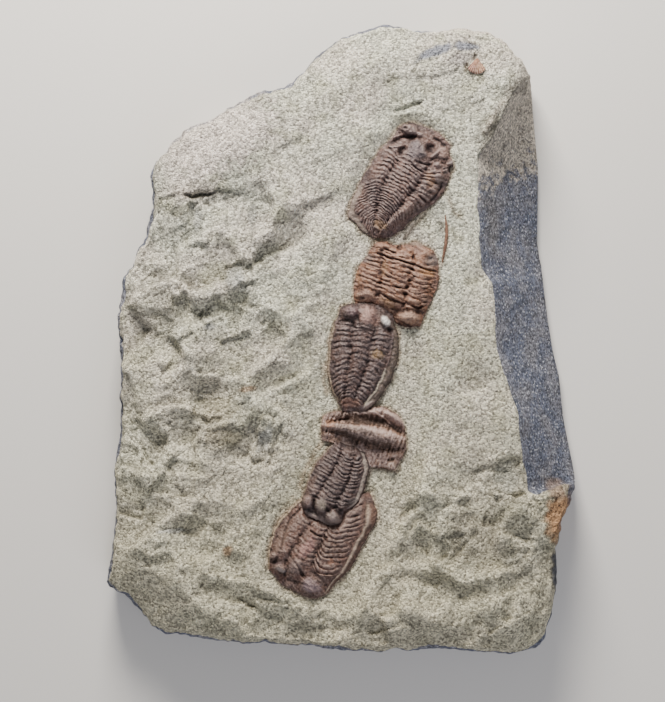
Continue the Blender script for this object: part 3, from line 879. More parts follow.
# Single flakes struck off at a slant: turned boxes x, y, half length, half width, turn, and the rise along x and y
# per mm. A face that rises up the slab lies away from the light.
SCARS = (
    (-38.5, 25.0, 5.0, 4.0, 20.0, 0.05, -0.38), (-37.0, 16.5, 7.0, 3.8, -12.0, 0.0, 0.36),
    (-49.0, 11.0, 5.0, 3.4, 40.0, -0.15, -0.35), (-56.0, 14.6, 6.4, 2.8, -38.0, -0.1, 0.4),
    (-29.5, 35.4, 6.4, 4.4, 30.0, 0.05, 0.28), (-47.0, -17.6, 10.0, 3.6, -6.0, 0.0, 0.33),
    (-45.0, -27.6, 10.0, 5.6, 0.0, 0.05, -0.2), (-70.0, 26.0, 4.4, 3.0, 0.0, 0.1, 0.4),
    (-54.0, 44.0, 3.4, 8.0, 0.0, 0.2, -0.25), (-62.0, -4.0, 8.0, 4.0, 20.0, 0.0, -0.28),
    (-79.5, -58.5, 6.5, 9.0, -15.0, 0.1, 0.3), (-60.0, -55.5, 10.0, 4.4, -8.0, 0.0, 0.33),
    (-57.0, -70.0, 5.4, 3.8, -30.0, 0.0, 0.33), (-64.0, -74.5, 7.0, 3.0, 5.0, 0.0, -0.28),
    (-42.0, -95.0, 10.0, 4.5, -12.0, 0.0, 0.33), (-24.0, -103.0, 9.0, 3.0, -8.0, 0.0, 0.3),
    (-42.0, -110.0, 5.5, 4.5, 20.0, 0.1, 0.3), (42.0, -53.5, 10.0, 4.0, -5.0, 0.0, 0.27),
    (63.0, -52.0, 6.0, 6.6, 10.0, 0.0, -0.24), (65.0, -67.0, 9.5, 7.0, -20.0, 0.1, 0.27),
    (34.0, -77.0, 8.0, 4.2, -35.0, 0.05, 0.37), (43.0, -67.6, 6.5, 6.0, 10.0, 0.0, -0.26),
    (29.0, -88.4, 9.0, 4.2, -8.0, 0.0, 0.3), (49.0, -95.5, 7.0, 2.8, 0.0, 0.0, 0.33),
    (66.5, -84.5, 6.0, 4.8, 0.0, 0.0, -0.26), (20.0, -106.0, 10.0, 4.0, 12.0, 0.0, 0.3),
    (62.0, -103.0, 9.0, 5.0, 30.0, -0.1, 0.3), (-72.0, -88.0, 9.0, 5.0, 10.0, 0.0, -0.2),
)
SCAR_EDGE = 0.6
# Sloping breaks that cut the face: a point x, y and level on the break, and its fall along x and y per mm
BREAKS = (
    (-62.0, -96.0, 33.0, 0.26, 0.34),
    (-30.0, 86.0, 36.2, 0.22, -0.42),
    (30.0, 108.0, 35.5, 0.0, -0.26),
)
# Stains: rust, blue grey, yellowish and pale patches
ROCK_STAINS = (
    (57.0, 69.0, 5.0, 7.0, 0.0, "E0D4C2", 0.6), (66.0, 90.0, 6.0, 12.0, -20.0, "948C84", 0.7),
    (83.0, -67.0, 5.4, 11.0, -8.0, "BE9067", 0.9), (82.0, -56.4, 5.0, 4.0, -30.0, "A28A78", 0.8),
    (-42.8, -80.4, 2.2, 2.4, 0.0, "B08C6C", 0.75),
    (-45.0, -37.0, 9.0, 5.0, 0.0, "BDB295", 0.6), (36.0, 109.4, 8.4, 2.2, 22.0, "858A99", 0.9),
    (47.0, 111.4, 6.4, 1.9, -10.0, "858A99", 0.9), (45.6, 106.4, 5.0, 3.0, 20.0, "BDB5B6", 0.6),
    (-64.0, -72.8, 6.0, 1.0, 4.0, "D9D8CE", 0.85), (-28.6, -37.6, 6.0, 3.0, 72.0, "C3C6C6", 0.6),
    (57.5, 45.0, 2.6, 15.0, 4.0, "96928C", 0.55), (60.0, 78.0, 8.0, 8.0, -20.0, "8B8479", 0.75),
    (-56.0, 58.0, 12.0, 5.0, 5.0, "D8CCC0", 0.6), (-40.0, 24.0, 5.0, 3.6, 60.0, "DCDDD6", 0.7),
    (-54.3, 46.0, 1.8, 5.6, 0.0, "DADAD2", 0.7), (-33.4, 47.0, 2.0, 5.0, 0.0, "D6D7D0", 0.6),
    (-28.0, 33.0, 6.0, 4.4, 30.0, "AEB0A2", 0.6), (-50.0, 4.6, 3.4, 1.4, 10.0, "A7ABB0", 0.6),
    (-47.0, -27.0, 10.0, 6.0, 10.0, "C9BE98", 0.5), (-35.2, -18.8, 3.4, 1.4, 15.0, "B08A68", 0.7),
    (-46.0, 76.0, 26.0, 13.0, 28.0, "F3E8DE", 0.9),
    (52.0, -12.0, 8.0, 6.0, 0.0, "AFA79A", 0.4), (50.0, -75.0, 12.0, 10.0, 0.0, "A89D8F", 0.4),
    (-70.0, 10.0, 8.0, 12.0, 0.0, "AFA597", 0.4), (82.4, -88.0, 2.4, 8.4, 2.0, "4E525E", 0.95),
    (63.0, -52.0, 5.4, 6.6, 10.0, "DADACB", 0.6),
    (66.0, -67.5, 9.0, 6.4, -20.0, "A5A48F", 0.5), (66.5, -84.5, 5.4, 4.4, 0.0, "D3D2C2", 0.5),
)
# Stained edges, cracks and beds: half width, colour, strength, points
ROCK_STAIN_LINES = (
    (1.3, "D3C6B5", 0.8, ((62.6, 92.4), (59.0, 86.0), (54.4, 76.6))),
    (1.7, "7F8390", 0.8, ((-14.6, 102.6), (-10.0, 108.0), (-4.0, 112.6), (0.4, 115.4))),
    (1.5, "8C8E96", 0.7, ((-60.0, 80.0), (-50.0, 85.0), (-39.0, 90.8))),
    (0.7, "3A3631", 0.8, ((52.6, 62.4), (55.0, 62.6), (57.8, 62.4))),
    (1.6, "B39E84", 0.7, ((-6.0, -7.0), (-6.4, -16.0), (-4.6, -22.0))),
    (1.5, "BFA78A", 0.7, ((-5.4, -37.0), (-10.4, -44.0), (-14.4, -52.0), (-16.0, -58.0))),
    (1.3, "A98F74", 0.6, ((33.6, 49.4), (27.6, 43.2), (23.4, 37.4))),
    (1.3, "B09A80", 0.6, ((39.2, 57.0), (41.6, 52.0), (43.6, 48.0), (46.6, 46.0))),
    (0.9, "A58570", 0.7, ((39.9, 46.4), (40.5, 43.5), (40.6, 40.0), (40.2, 36.0), (39.2, 31.0), (37.6, 25.4))),
    (1.1, "2E241C", 0.95, ((50.2, 107.2), (51.2, 107.7), (52.2, 107.2))),
    (0.8, "6A5038", 0.8, ((48.6, 105.6), (47.6, 103.4), (48.0, 101.6))),
    (1.2, "A9A094", 0.7, ((37.4, 46.4), (38.6, 43.4), (39.0, 40.0))),
    (1.4, "B3A48A", 0.6, ((11.6, -55.0), (12.6, -60.0), (15.6, -64.0))),
    (1.2, "B7A58C", 0.6, ((-15.4, -57.6), (-21.4, -63.6), (-26.2, -71.6))),
)
# The broken ground, from coarse to fine. Flakes: size, depth, own number. Planes: size, height, own number.
FLAKES = ((15.0, 4.0, 3.0), (8.5, 0.6, 8.0))
PLANES = ((15.0, 4.6, 14), (6.5, 0.85, 18), (3.0, 0.35, 16))
STREAKS = ((0.22, 1.5, 65),)
STREAK_STRETCH = 3.2
BREAK_ROUGHNESS = 0.45
# The splintery grain runs this way. Its broken planes: how many differ, how sharply they meet, and their tilt.
GRAIN_RUN = (0.8, 0.6)
PLANE_CELLS = 64
PLANE_EDGE = 20.0
PLANE_TILT = 1.9
# Share of the full roughness that the preparer smoothed away on the right and at the top, and the least left over
SMOOTH_RIGHT = 0.7
SMOOTH_TOP = 0.68
LEAST_ROUGHNESS = 0.06
# Uneven parts, as layers of smooth noise: height, size of the lumps, own number
BENT_X = ((1.1, 4.0, 60), (0.5, 1.7, 61))
BENT_Y = ((1.1, 4.0, 62), (0.5, 1.7, 63))
CHANNEL_FLOOR = ((0.22, 9.0, 64),)
STONE_GRAIN = ((0.14, 4.0, 66), (0.12, 2.0, 67), (0.12, 1.0, 68))
ROUGH_GRAIN = ((0.06, 2.0, 67),)
RIM_NICKS = ((0.9, 6.0, 70), (0.5, 2.0, 71))
BED_EDGE = ((1.6, 3.5, 92),)
BACK_RELIEF = ((0.5, 22.0, 75), (0.4, 7.0, 76))
# The rim is nicked inwards by this much, within these bounds, so that the stone stays inside its outline
MEAN_NICK = 0.6
LEAST_NICK = 0.3
MOST_NICK = 1.6
# Rows of points across and up the face, and rings of them round the shoulder and down the side to the back
FACE_COLUMNS = 232
FACE_ROWS = 304
SHOULDER_RINGS = 14
FOOT_RINGS = 6
# How far the side draws in towards the back, and the two rings on the back inside it
FOOT_INSET = 7.0
BACK_INSET = (3.0, 4.0)
BACK_LEVELS = (0.0, 0.6, 1.6)
# Hollows struck out of the side: their sizes and depths, and the size and depth of its finer relief
SIDE_FLAKES = ((10.0, 2.4), (3.6, 0.9))
SIDE_GRAIN = (1.4, 0.3)
# The joint face is this much smoother than the broken sides, and is broken again at its top, between two levels
JOINT_SMOOTHNESS = 0.86
JOINT_ROUGHNESS = (0.5, 2.7)
JOINT_TOP = (58.0, 66.0)
# The rock lies this far under a fossil, and this far up its edge, where the bed's wall starts
UNDER_FOSSIL = 1.6
BED_RISE = 0.15
BED_SLOPE = 0.5


def flakes(x, y, size, seed):
    """Hollows left by struck flakes, low in the middle and high at the edge."""
    warp_x, warp_y = noise_at(x, y, 2.2 * size, seed + 40.0), noise_at(x, y, 2.2 * size, seed + 41.0)
    places = np.stack((x / size + 0.5 * warp_x, y / size + 0.5 * warp_y), axis=-1).reshape(-1, 2)
    hollow = [min(1.2, noise.voronoi(Vector((px, py, seed)))[0][0] ** 2) for px, py in places]
    return np.array(hollow).reshape(x.shape)


def broken_planes(x, y, size, seed):
    """Flat breaks, each tilted its own way and longer along the splintery grain that runs up to the right. Where
    two meet, one bends into the other."""
    cells = np.random.default_rng(seed).random((PLANE_CELLS, PLANE_CELLS, 5))
    along = (GRAIN_RUN[0] * x + GRAIN_RUN[1] * y) / (1.2 * size) + 0.3 * noise_at(x, y, 1.4 * size, seed)
    over = (GRAIN_RUN[0] * y - GRAIN_RUN[1] * x) / size + 0.3 * noise_at(x, y, 1.4 * size, seed + 0.5)
    column, row = np.floor(along).astype(int), np.floor(over).astype(int)
    total, weights = np.zeros(x.shape), np.zeros(x.shape)
    for i in (-1, 0, 1):
        for j in (-1, 0, 1):
            cell = cells[(column + i) % PLANE_CELLS, (row + j) % PLANE_CELLS]
            past, beside = along - column - i - cell[..., 0], over - row - j - cell[..., 1]
            weight = np.exp(-PLANE_EDGE * np.hypot(past, beside))
            tilt = PLANE_TILT * ((cell[..., 2] - 0.5) * past + (cell[..., 3] - 0.4) * beside)
            total += weight * (tilt + 0.25 * cell[..., 4])
            weights += weight
    return total / weights - 0.12


def channel_depth(x, y):
    """Depth into the prepared channel, from 0 outside to 1 on its floor."""
    bank = CHANNEL_BANKS[0] + (CHANNEL_BANKS[1] - CHANNEL_BANKS[0]) * ramp(-20.0, -60.0, y)
    return ramp(0.0, 1.0, line_distance(x, y, CHANNEL, closed=True)[0] / bank) * inside(x, y, np.array(CHANNEL))


def face_roughness(x, y, depth):
    """Share of the full flake depth: the channel, the ground on its right and the top were cleaned smooth."""
    smooth_right = SMOOTH_RIGHT * ramp(-60.0, -35.0, y) * ramp(20.0, 34.0, x)
    smooth_top = SMOOTH_TOP * ramp(52.0, 64.0, y)
    return np.maximum(LEAST_ROUGHNESS, 1.0 - np.maximum(depth, np.maximum(smooth_right, smooth_top)))


def box_distance(x, y, cx, cy, half_length, half_width, turn):
    """How far outside a turned box a place is, below 0 inside it."""
    along, over = turned(x, y, cx, cy, turn)
    return np.maximum(np.abs(along) - half_length, np.abs(over) - half_width)


def struck_relief(x, y, rough):
    """The smaller flakes, each tilted its own way, and the splintery streaks that run up to the right."""
    streak_x, streak_y = GRAIN_RUN[0] * x + GRAIN_RUN[1] * y, GRAIN_RUN[0] * y - GRAIN_RUN[1] * x
    streaks = layered_noise(streak_x / STREAK_STRETCH, streak_y, STREAKS)
    planes = sum(height * broken_planes(x, y, size, number) for size, height, number in PLANES)
    size, depth, number = FLAKES[1]
    return rough * (planes + depth * (flakes(x, y, size, number) - 0.45) + streaks)


def ledge_drop(x, y, drop, recovery, line):
    """How far the ground drops along a ledge before it comes back up."""
    away, side, share = line_distance(x, y, line)
    ends = ramp(0.0, 0.12, share) * ramp(0.0, 0.12, 1.0 - share)
    face_width = 0.2 + 0.4 * drop
    return drop * ends * np.exp(-away / recovery) * ramp(-face_width, face_width, side * away)


def face_level(x, y):
    """Level of the rock's face, before its rim is rounded."""
    depth = channel_depth(x, y)
    rough = face_roughness(x, y, depth)
    bent_x, bent_y = x + layered_noise(x, y, BENT_X), y + layered_noise(x, y, BENT_Y)
    level = np.full(x.shape, FACE_LEVEL - 2.2)
    for lump in LUMPS:
        level += lump[5] * np.exp(-1.4 * oval_distance(x, y, *lump[:5]) ** 2)
    for drop, recovery, line in LEDGES:
        level -= ledge_drop(bent_x, bent_y, drop, recovery, line)
    for plate in PLATES:
        level += plate[5] * (1.0 - ramp(-0.3, 0.5, box_distance(bent_x, bent_y, *plate[:5])))
    size, flake_depth, number = FLAKES[0]
    level += rough * flake_depth * (flakes(x, y, size, number) - 0.45)
    for scar in SCARS:
        share = 1.0 - ramp(-SCAR_EDGE, SCAR_EDGE, box_distance(bent_x, bent_y, *scar[:5]))
        level += share * ((x - scar[0]) * scar[5] + (y - scar[1]) * scar[6])
    struck = struck_relief(x, y, rough)
    level += struck
    for bx, by, height, fall_x, fall_y in BREAKS:
        cut = height + (x - bx) * fall_x + (y - by) * fall_y + BREAK_ROUGHNESS * struck
        level = np.minimum(level, cut)
    level = level * (1.0 - depth) + (CHANNEL_LEVEL + layered_noise(x, y, CHANNEL_FLOOR)) * depth
    for half_width, rise, line in CRACKS:
        level += rise * faded_line(bent_x, bent_y, line, half_width)
    level += layered_noise(x, y, STONE_GRAIN) + rough * layered_noise(x, y, ROUGH_GRAIN)
    return pressed_down(level)


def edge_points(edge, count):
    """Points spaced evenly along one edge of the slab, as rows of the six values of a pair, a little ragged."""
    pairs = np.array(edge, dtype=float)
    steps = np.hypot(*np.diff(pairs[:, :2], axis=0).T) + np.hypot(*np.diff(pairs[:, 3:5], axis=0).T)
    along = np.concatenate(([0.0], np.cumsum(steps)))
    wanted = np.linspace(0.0, along[-1], count + 1)
    points = np.stack([np.interp(wanted, along, pairs[:, k]) for k in range(6)], axis=1)
    on_broken_side = 1.0 - 0.9 * ramp(0.9, 0.2, points[:, 5])
    for first in (0, 3):
        x, y = points[:, first].copy(), points[:, first + 1].copy()
        nick = np.minimum(MEAN_NICK + layered_noise(x, y, RIM_NICKS, first), MOST_NICK) * on_broken_side
        nick = np.maximum(LEAST_NICK, nick) / np.hypot(x, y)
        points[:, first] -= nick * x
        points[:, first + 1] -= nick * y
    return points


def face_grid(left, right, top, bottom):
    """Places between four edges, blended from them: rows from the bottom, columns from the left."""
    u = np.linspace(0.0, 1.0, len(top))[None, :, None]
    v = np.linspace(0.0, 1.0, len(left))[:, None, None]
    sides = (1 - u) * left[:, None, :] + u * right[:, None, :]
    ends = (1 - v) * bottom[None, :, :] + v * top[None, :, :]
    corners = (1 - u) * (1 - v) * bottom[0] + u * (1 - v) * bottom[-1] + (1 - u) * v * top[0] + u * v * top[-1]
    return sides + ends - corners


def rim_drop(x, y, rim):
    """How far the face has rounded down towards the rim near it."""
    best, drop = np.full(x.shape, 1e9), np.zeros(x.shape)
    for rx, ry, fall in rim[::4]:
        away = np.hypot(x - rx, y - ry)
        drop = np.where(away < best, fall, drop)
        best = np.minimum(best, away)
    return drop * (1.0 - ramp(0.0, 12.0, best)) ** 1.5


def hollow_at(x, y, z, size):
    """Depth of the struck hollows in the side at a place, as a share of their full depth."""
    return min(1.2, noise.voronoi(Vector((x, y, 1.3 * z)) / size)[0][0] ** 2)


def side_rings(around, rim_points):
    """The rings of the slab's side below its rim, and for each point how much it is joint face."""
    outline = around[:, :3]
    flat = ramp(0.9, 0.2, around[:, 5])
    centreward = -outline[:, :2] / np.hypot(*outline[:, :2].T)[:, None]
    (flake_size, flake_depth), (chip_size, chip_depth) = SIDE_FLAKES
    rings, joints = [], []
    for k in range(1, SHOULDER_RINGS + FOOT_RINGS + 1):
        s = min(1.0, k / SHOULDER_RINGS)
        across = math.sin(s * math.pi / 2) * (1 - flat) + s * flat
        down = (1 - math.cos(s * math.pi / 2)) * (1 - flat) + s * flat
        ring = rim_points + (outline - rim_points) * np.stack((across, across, down), axis=1)
        foot = max(0.0, (k - SHOULDER_RINGS) / FOOT_RINGS)
        ring[:, :2] += centreward * (FOOT_INSET * foot ** 2.3)
        ring[:, 2] *= 1.0 - foot
        fade = (1.0 - foot) * math.sin(math.pi * s * 0.75)
        broken = JOINT_ROUGHNESS[0] + (JOINT_ROUGHNESS[1] - JOINT_ROUGHNESS[0]) * ramp(*JOINT_TOP, ring[:, 1])
        for j, (x, y, z) in enumerate(ring):
            hollow, small = hollow_at(x, y, z, flake_size), hollow_at(x, y, z, chip_size)
            fine = noise.noise(Vector((x, y, z)) / SIDE_GRAIN[0])
            depth = flake_depth * hollow + chip_depth * small + SIDE_GRAIN[1] * fine
            ring[j, :2] += centreward[j] * max(0.0, depth * (1.0 - JOINT_SMOOTHNESS * flat[j]) * fade)
            ring[j, 2] -= flat[j] * fade * broken[j] * (small + 0.6 * fine + 0.5 * (broken[j] > 1.0) * hollow)
        rings.append(ring)
        joints.append(np.maximum(flat, ramp(0.45, 1.0, k / SHOULDER_RINGS)))
    return rings, joints


def halving_faces(upper, lower):
    """Triangles between a ring and one with half as many points."""
    faces = []
    for k in range(len(lower)):
        a, b, c = upper[2 * k], upper[2 * k + 1], upper[(2 * k + 2) % len(upper)]
        d, e = lower[k], lower[(k + 1) % len(lower)]
        faces += [(a, d, b), (b, d, e), (b, e, c)]
    return faces


def back_level(x, y):
    """The back is a rough break. Its high parts, seen from below, lie on the floor at 0."""
    lowest, middle, highest = BACK_LEVELS
    return np.clip(middle + layered_noise(x, y, BACK_RELIEF), lowest, highest)


def let_beds_in(x, y, z):
    """Press the face down under each fossil, and tell how near a bed's stained edge each place is."""
    fringe = np.zeros(x.shape)
    for node, edge in edges.items():
        low, high = edge.min(axis=0) - 12.0, edge.max(axis=0) + 12.0
        near = (x > low[0]) & (x < high[0]) & (y > low[1]) & (y < high[1])
        away = line_distance(x[near], y[near], edge, closed=True)[0]
        within = np.where(inside(x[near], y[near], edge), -away, away)
        ragged = np.maximum(1.5 + layered_noise(x[near], y[near], BED_EDGE), 0.3)
        fringe[near] = np.maximum(fringe[near], 1.0 - ramp(0.3, 1.0, within / ragged))
        wall = beds[node] + BED_RISE + BED_SLOPE * np.maximum(within - 0.4, 0.0)
        z[near] = np.minimum(z[near], wall)
        z[near] = np.where(within < -1.0, np.minimum(z[near], beds[node] - UNDER_FOSSIL), z[near])
    return fringe


def back_grid(last):
    """The places between the last ring of the back, as a grid a quarter as fine as the face."""
    across, up = FACE_COLUMNS // 4, FACE_ROWS // 4
    corner = last[:, :2]
    bottom, right = corner[:across + 1], corner[across:across + up + 1]
    top = corner[across + up:2 * across + up + 1][::-1]
    left = np.concatenate((corner[2 * across + up:], corner[:1]))[::-1]
    back = face_grid(left, right, top, bottom)
    return np.dstack((back, back_level(back[..., 0], back[..., 1])))


def close_slab(face_points, rings):
    """Blocks of points and the faces of the slab below its face: the side, two rings of the back, and its grid."""
    ring = edge_numbers(FACE_ROWS + 1, FACE_COLUMNS + 1)
    faces, blocks, count = grid_faces(FACE_ROWS + 1, FACE_COLUMNS + 1), [face_points], len(face_points)
    for points in rings:
        lower = list(range(count, count + len(points)))
        faces += ring_faces(ring, lower)
        blocks.append(points)
        ring, count = lower, count + len(points)
    last = rings[-1]
    for inset in BACK_INSET:
        last = last[::2].copy()
        last[:, :2] *= 1.0 - inset / np.hypot(*last[:, :2].T)[:, None]
        last[:, 2] = back_level(last[:, 0], last[:, 1])
        lower = list(range(count, count + len(last)))
        faces += halving_faces(ring, lower)
        blocks.append(last)
        ring, count = lower, count + len(last)
    back = back_grid(last)
    up, across = back.shape[0] - 1, back.shape[1] - 1
    numbers = np.empty((up + 1, across + 1), dtype=int)
    numbers[1:-1, 1:-1] = count + np.arange((up - 1) * (across - 1)).reshape(up - 1, across - 1)
    numbers.flat[edge_numbers(up + 1, across + 1)] = ring
    blocks.append(back[1:-1, 1:-1].reshape(-1, 3))
    for low_row, high_row in zip(numbers[:-1].tolist(), numbers[1:].tolist()):
        faces += [(low_row[j], high_row[j], high_row[j + 1], low_row[j + 1]) for j in range(across)]
    return blocks, faces, count


def add_slab(finish):
    """The whole slab, with what its finish reads stored on its points."""
    bottom = edge_points(BOTTOM_EDGE[::-1], FACE_COLUMNS)
    right = edge_points(RIGHT_EDGE[::-1], FACE_ROWS)
    top = edge_points(TOP_EDGE, FACE_COLUMNS)
    left = edge_points(LEFT_EDGE, FACE_ROWS)
    places = face_grid(left[:, 3:5], right[:, 3:5], top[:, 3:5], bottom[:, 3:5])
    around = np.concatenate((bottom[:-1], right[:-1], top[:0:-1], left[:0:-1]))
    x, y = places[..., 0], places[..., 1]
    z = face_level(x, y) - rim_drop(x, y, around[:, 3:6])
    fringe = let_beds_in(x, y, z)
    face_points = np.dstack((x, y, z)).reshape(-1, 3)
    rings, joints = side_rings(around, face_points[edge_numbers(*x.shape)])
    blocks, faces, before_back = close_slab(face_points, rings)
    every = np.concatenate(blocks)
    slab = new_piece("siltstone_slab", true_places(every), faces, finish)

    relief = np.clip((z - blurred(z, 2)) / 0.5, -1, 1) + 0.6 * np.clip((z - blurred(z, 7)) / 1.6, -1, 1)
    store(slab, "relief", relief.ravel())
    on_back = np.ones(len(every) - before_back)
    store(slab, "joint", np.concatenate([np.zeros(x.size)] + joints + [on_back]))
    stain = stain_colours(every[:, 0], every[:, 1], ROCK_STAINS, ROCK_STAIN_LINES, 80.0)
    lay_over(stain[:fringe.size], 0.75 * fringe.ravel(), "B9A48E")
    store(slab, "stain", stain, "FLOAT_COLOR")
    store(slab, "rough", face_roughness(x, y, channel_depth(x, y)).ravel())
    return slab


# Sizes in millimetres of the clouds of colour, the specks on the joint face and the grain of the stone
CLOUD_SIZES = (30.0, 9.0, 5.0)
SPECK_SIZE = 1.5
STONE_GRAIN_SIZES = (2.4, 0.95, 0.72)


def siltstone_finish():
    """Greenish grey calcareous siltstone: matt, granular, speckled light and dark by its grains, with pale dust on
    its edges and dirt in its hollows. The joint face is weathered to blue grey, with light specks."""
    finish = bpy.data.materials.new("split siltstone")
    finish.use_nodes = True
    tree = finish.node_tree
    shader = tree.nodes["Principled BSDF"]
    place = add_node(tree, "ShaderNodeTexCoord").outputs["Object"]
    axes = add_node(tree, "ShaderNodeSeparateXYZ", links={0: place}).outputs
    relief = add_node(tree, "ShaderNodeAttribute", {"attribute_name": "relief"}).outputs["Fac"]
    joint = add_node(tree, "ShaderNodeAttribute", {"attribute_name": "joint"}).outputs["Fac"]
    stain = add_node(tree, "ShaderNodeAttribute", {"attribute_name": "stain"}).outputs
    broad, cloudy, blotchy, coarse, grains = [
        add_node(tree, "ShaderNodeTexNoise",
                 links={"Vector": place, "Scale": 1000 / size, "Detail": detail, "Roughness": roughness})
        for size, detail, roughness in (
            (CLOUD_SIZES[0], 2.0, 0.5), (CLOUD_SIZES[1], 3.0, 0.5), (CLOUD_SIZES[2], 4.0, 0.7),
            (STONE_GRAIN_SIZES[0], 2.0, 0.5), (STONE_GRAIN_SIZES[1], 4.0, 0.8))]

    # The fresh face: greenish and pinkish clouds, duller ones over them, browner at the bottom, then the stains
    share = add_node(tree, "ShaderNodeMapRange", links={"Value": broad, "From Min": 0.4, "From Max": 0.6})
    colour = add_node(tree, "ShaderNodeMix", MIX_COLOURS, {0: share, 6: "#DADAC9", 7: "#E0D9CB"})
    share = add_node(tree, "ShaderNodeMapRange",
                     links={"Value": cloudy, "From Min": 0.48, "From Max": 0.68, "To Max": 0.7})
    colour = add_node(tree, "ShaderNodeMix", MIX_COLOURS, {0: share, 6: colour, 7: "#BFBEA6"})
    low_part = add_node(tree, "ShaderNodeMath", {"operation": "MULTIPLY_ADD"}, {0: cloudy, 1: -0.06, 2: axes["Y"]})
    share = add_node(tree, "ShaderNodeMapRange",
                     links={"Value": low_part, "From Min": 0.02, "From Max": -0.12, "To Max": 0.8})
    colour = add_node(tree, "ShaderNodeMix", MIX_COLOURS, {0: share, 6: colour, 7: "#CBC4A9"})
    colour = add_node(tree, "ShaderNodeMix", MIX_COLOURS, {0: stain["Alpha"], 6: colour, 7: stain["Color"]})

    # The joint face: slate blue with pale specks and most of each stain, brownish where it is broken at the top
    share = add_node(tree, "ShaderNodeMapRange", links={"Value": cloudy, "From Min": 0.4, "From Max": 0.62})
    slate = add_node(tree, "ShaderNodeMix", MIX_COLOURS, {0: share, 6: "#6E7486", 7: "#83848D"})
    specks = add_node(tree, "ShaderNodeTexVoronoi", links={"Vector": place, "Scale": 1000 / SPECK_SIZE})
    speck = add_node(tree, "ShaderNodeMapRange",
                     links={"Value": specks.outputs["Distance"], "From Min": 0.34, "From Max": 0.16})
    slate = add_node(tree, "ShaderNodeMix", MIX_COLOURS, {0: speck, 6: slate, 7: "#BFC1CA"})
    share = add_node(tree, "ShaderNodeMath", {"operation": "MULTIPLY"}, {0: stain["Alpha"], 1: 0.8})
    slate = add_node(tree, "ShaderNodeMix", MIX_COLOURS, {0: share, 6: slate, 7: stain["Color"]})
    slant = add_node(tree, "ShaderNodeMath", {"operation": "MULTIPLY_ADD"}, {0: axes["X"], 1: -0.45, 2: axes["Y"]})
    blotch = add_node(tree, "ShaderNodeMath", {"operation": "MULTIPLY_ADD"}, {0: blotchy, 1: 0.06, 2: slant})
    above = add_node(tree, "ShaderNodeMapRange", links={"Value": blotch, "From Min": 0.062, "From Max": 0.070})
    east = add_node(tree, "ShaderNodeMapRange", links={"Value": axes["X"], "From Min": 0.03, "From Max": 0.04})
    share = add_node(tree, "ShaderNodeMath", {"operation": "MULTIPLY"}, {0: above, 1: east})
    slate = add_node(tree, "ShaderNodeMix", MIX_COLOURS, {0: share, 6: slate, 7: "#D2C9BC"})

    # The two meet along a ragged line
    ragged = add_node(tree, "ShaderNodeMapRange", links={
        "Value": cloudy, "From Min": 0.3, "From Max": 0.7, "To Min": -0.35, "To Max": 0.35})
    ragged = add_node(tree, "ShaderNodeMath", {"operation": "ADD"}, {0: joint, 1: ragged})
    share = add_node(tree, "ShaderNodeMapRange", links={"Value": ragged, "From Min": 0.4, "From Max": 0.6})
    colour = add_node(tree, "ShaderNodeMix", MIX_COLOURS, {0: share, 6: colour, 7: slate})

    # Each grain has a tone of its own, and the hollows are darker and the edges dusted paler
    cells = add_node(tree, "ShaderNodeTexVoronoi", links={"Vector": place, "Scale": 1000 / STONE_GRAIN_SIZES[2]})
    own_tone = add_node(tree, "ShaderNodeSeparateColor", links={"Color": cells.outputs["Color"]}).outputs["Red"]
    speckle = add_node(tree, "ShaderNodeMapRange", links={
        "Value": grains, "From Min": 0.36, "From Max": 0.64, "To Min": 0.66, "To Max": 1.34})
    tone = add_node(tree, "ShaderNodeMapRange", links={"Value": own_tone, "To Min": 0.42, "To Max": 1.66})
    grain = add_node(tree, "ShaderNodeMath", {"operation": "MULTIPLY"}, {0: speckle, 1: tone})
    pits = add_node(tree, "ShaderNodeMapRange", links={
        "Value": relief, "From Min": -1.0, "From Max": 0.6, "To Min": 0.84, "To Max": 1.08})
    shade = add_node(tree, "ShaderNodeMath", {"operation": "MULTIPLY"}, {0: grain, 1: pits})
    grey = add_node(tree, "ShaderNodeCombineColor", links={"Red": shade, "Green": shade, "Blue": shade})
    colour = add_node(tree, "ShaderNodeMix", {**MIX_COLOURS, "blend_type": "MULTIPLY"},
                      {0: 1.0, 6: colour, 7: grey})
    height = add_node(tree, "ShaderNodeMath", {"operation": "MULTIPLY_ADD"}, {0: coarse, 1: 0.3, 2: grains})
    height = add_node(tree, "ShaderNodeMath", {"operation": "MULTIPLY_ADD"},
                      {0: cells.outputs["Distance"], 1: -0.5, 2: height})
    bump = add_node(tree, "ShaderNodeBump", links={"Strength": 0.9, "Distance": 0.0024, "Height": height})
    tree.links.new(colour.outputs[2], shader.inputs["Base Color"])
    tree.links.new(bump.outputs[0], shader.inputs["Normal"])
    shader.inputs["Roughness"].default_value = 0.92
    shader.inputs["Specular IOR Level"].default_value = 0.2
    return finish


split_siltstone = siltstone_finish()
slab = add_slab(split_siltstone)
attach(slab, "root")
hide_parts("matrix_slab")

# The cheek spine and the shell fragment: a thin spine broken from a cheek, lying on edge in the rock, and a fan of
# ribbed shell by the top of the slab. Both are pale brown calcite, held by the rock round them.
SPINE_LINE = ((39.8, 47.2), (40.3, 43.5), (40.4, 40.0), (40.0, 36.0), (39.2, 32.0), (38.7, 29.4))
# The full width of the spine, and how far its top stands over the rock
SPINE_WIDTH = 1.2
SPINE_RISE = 0.85
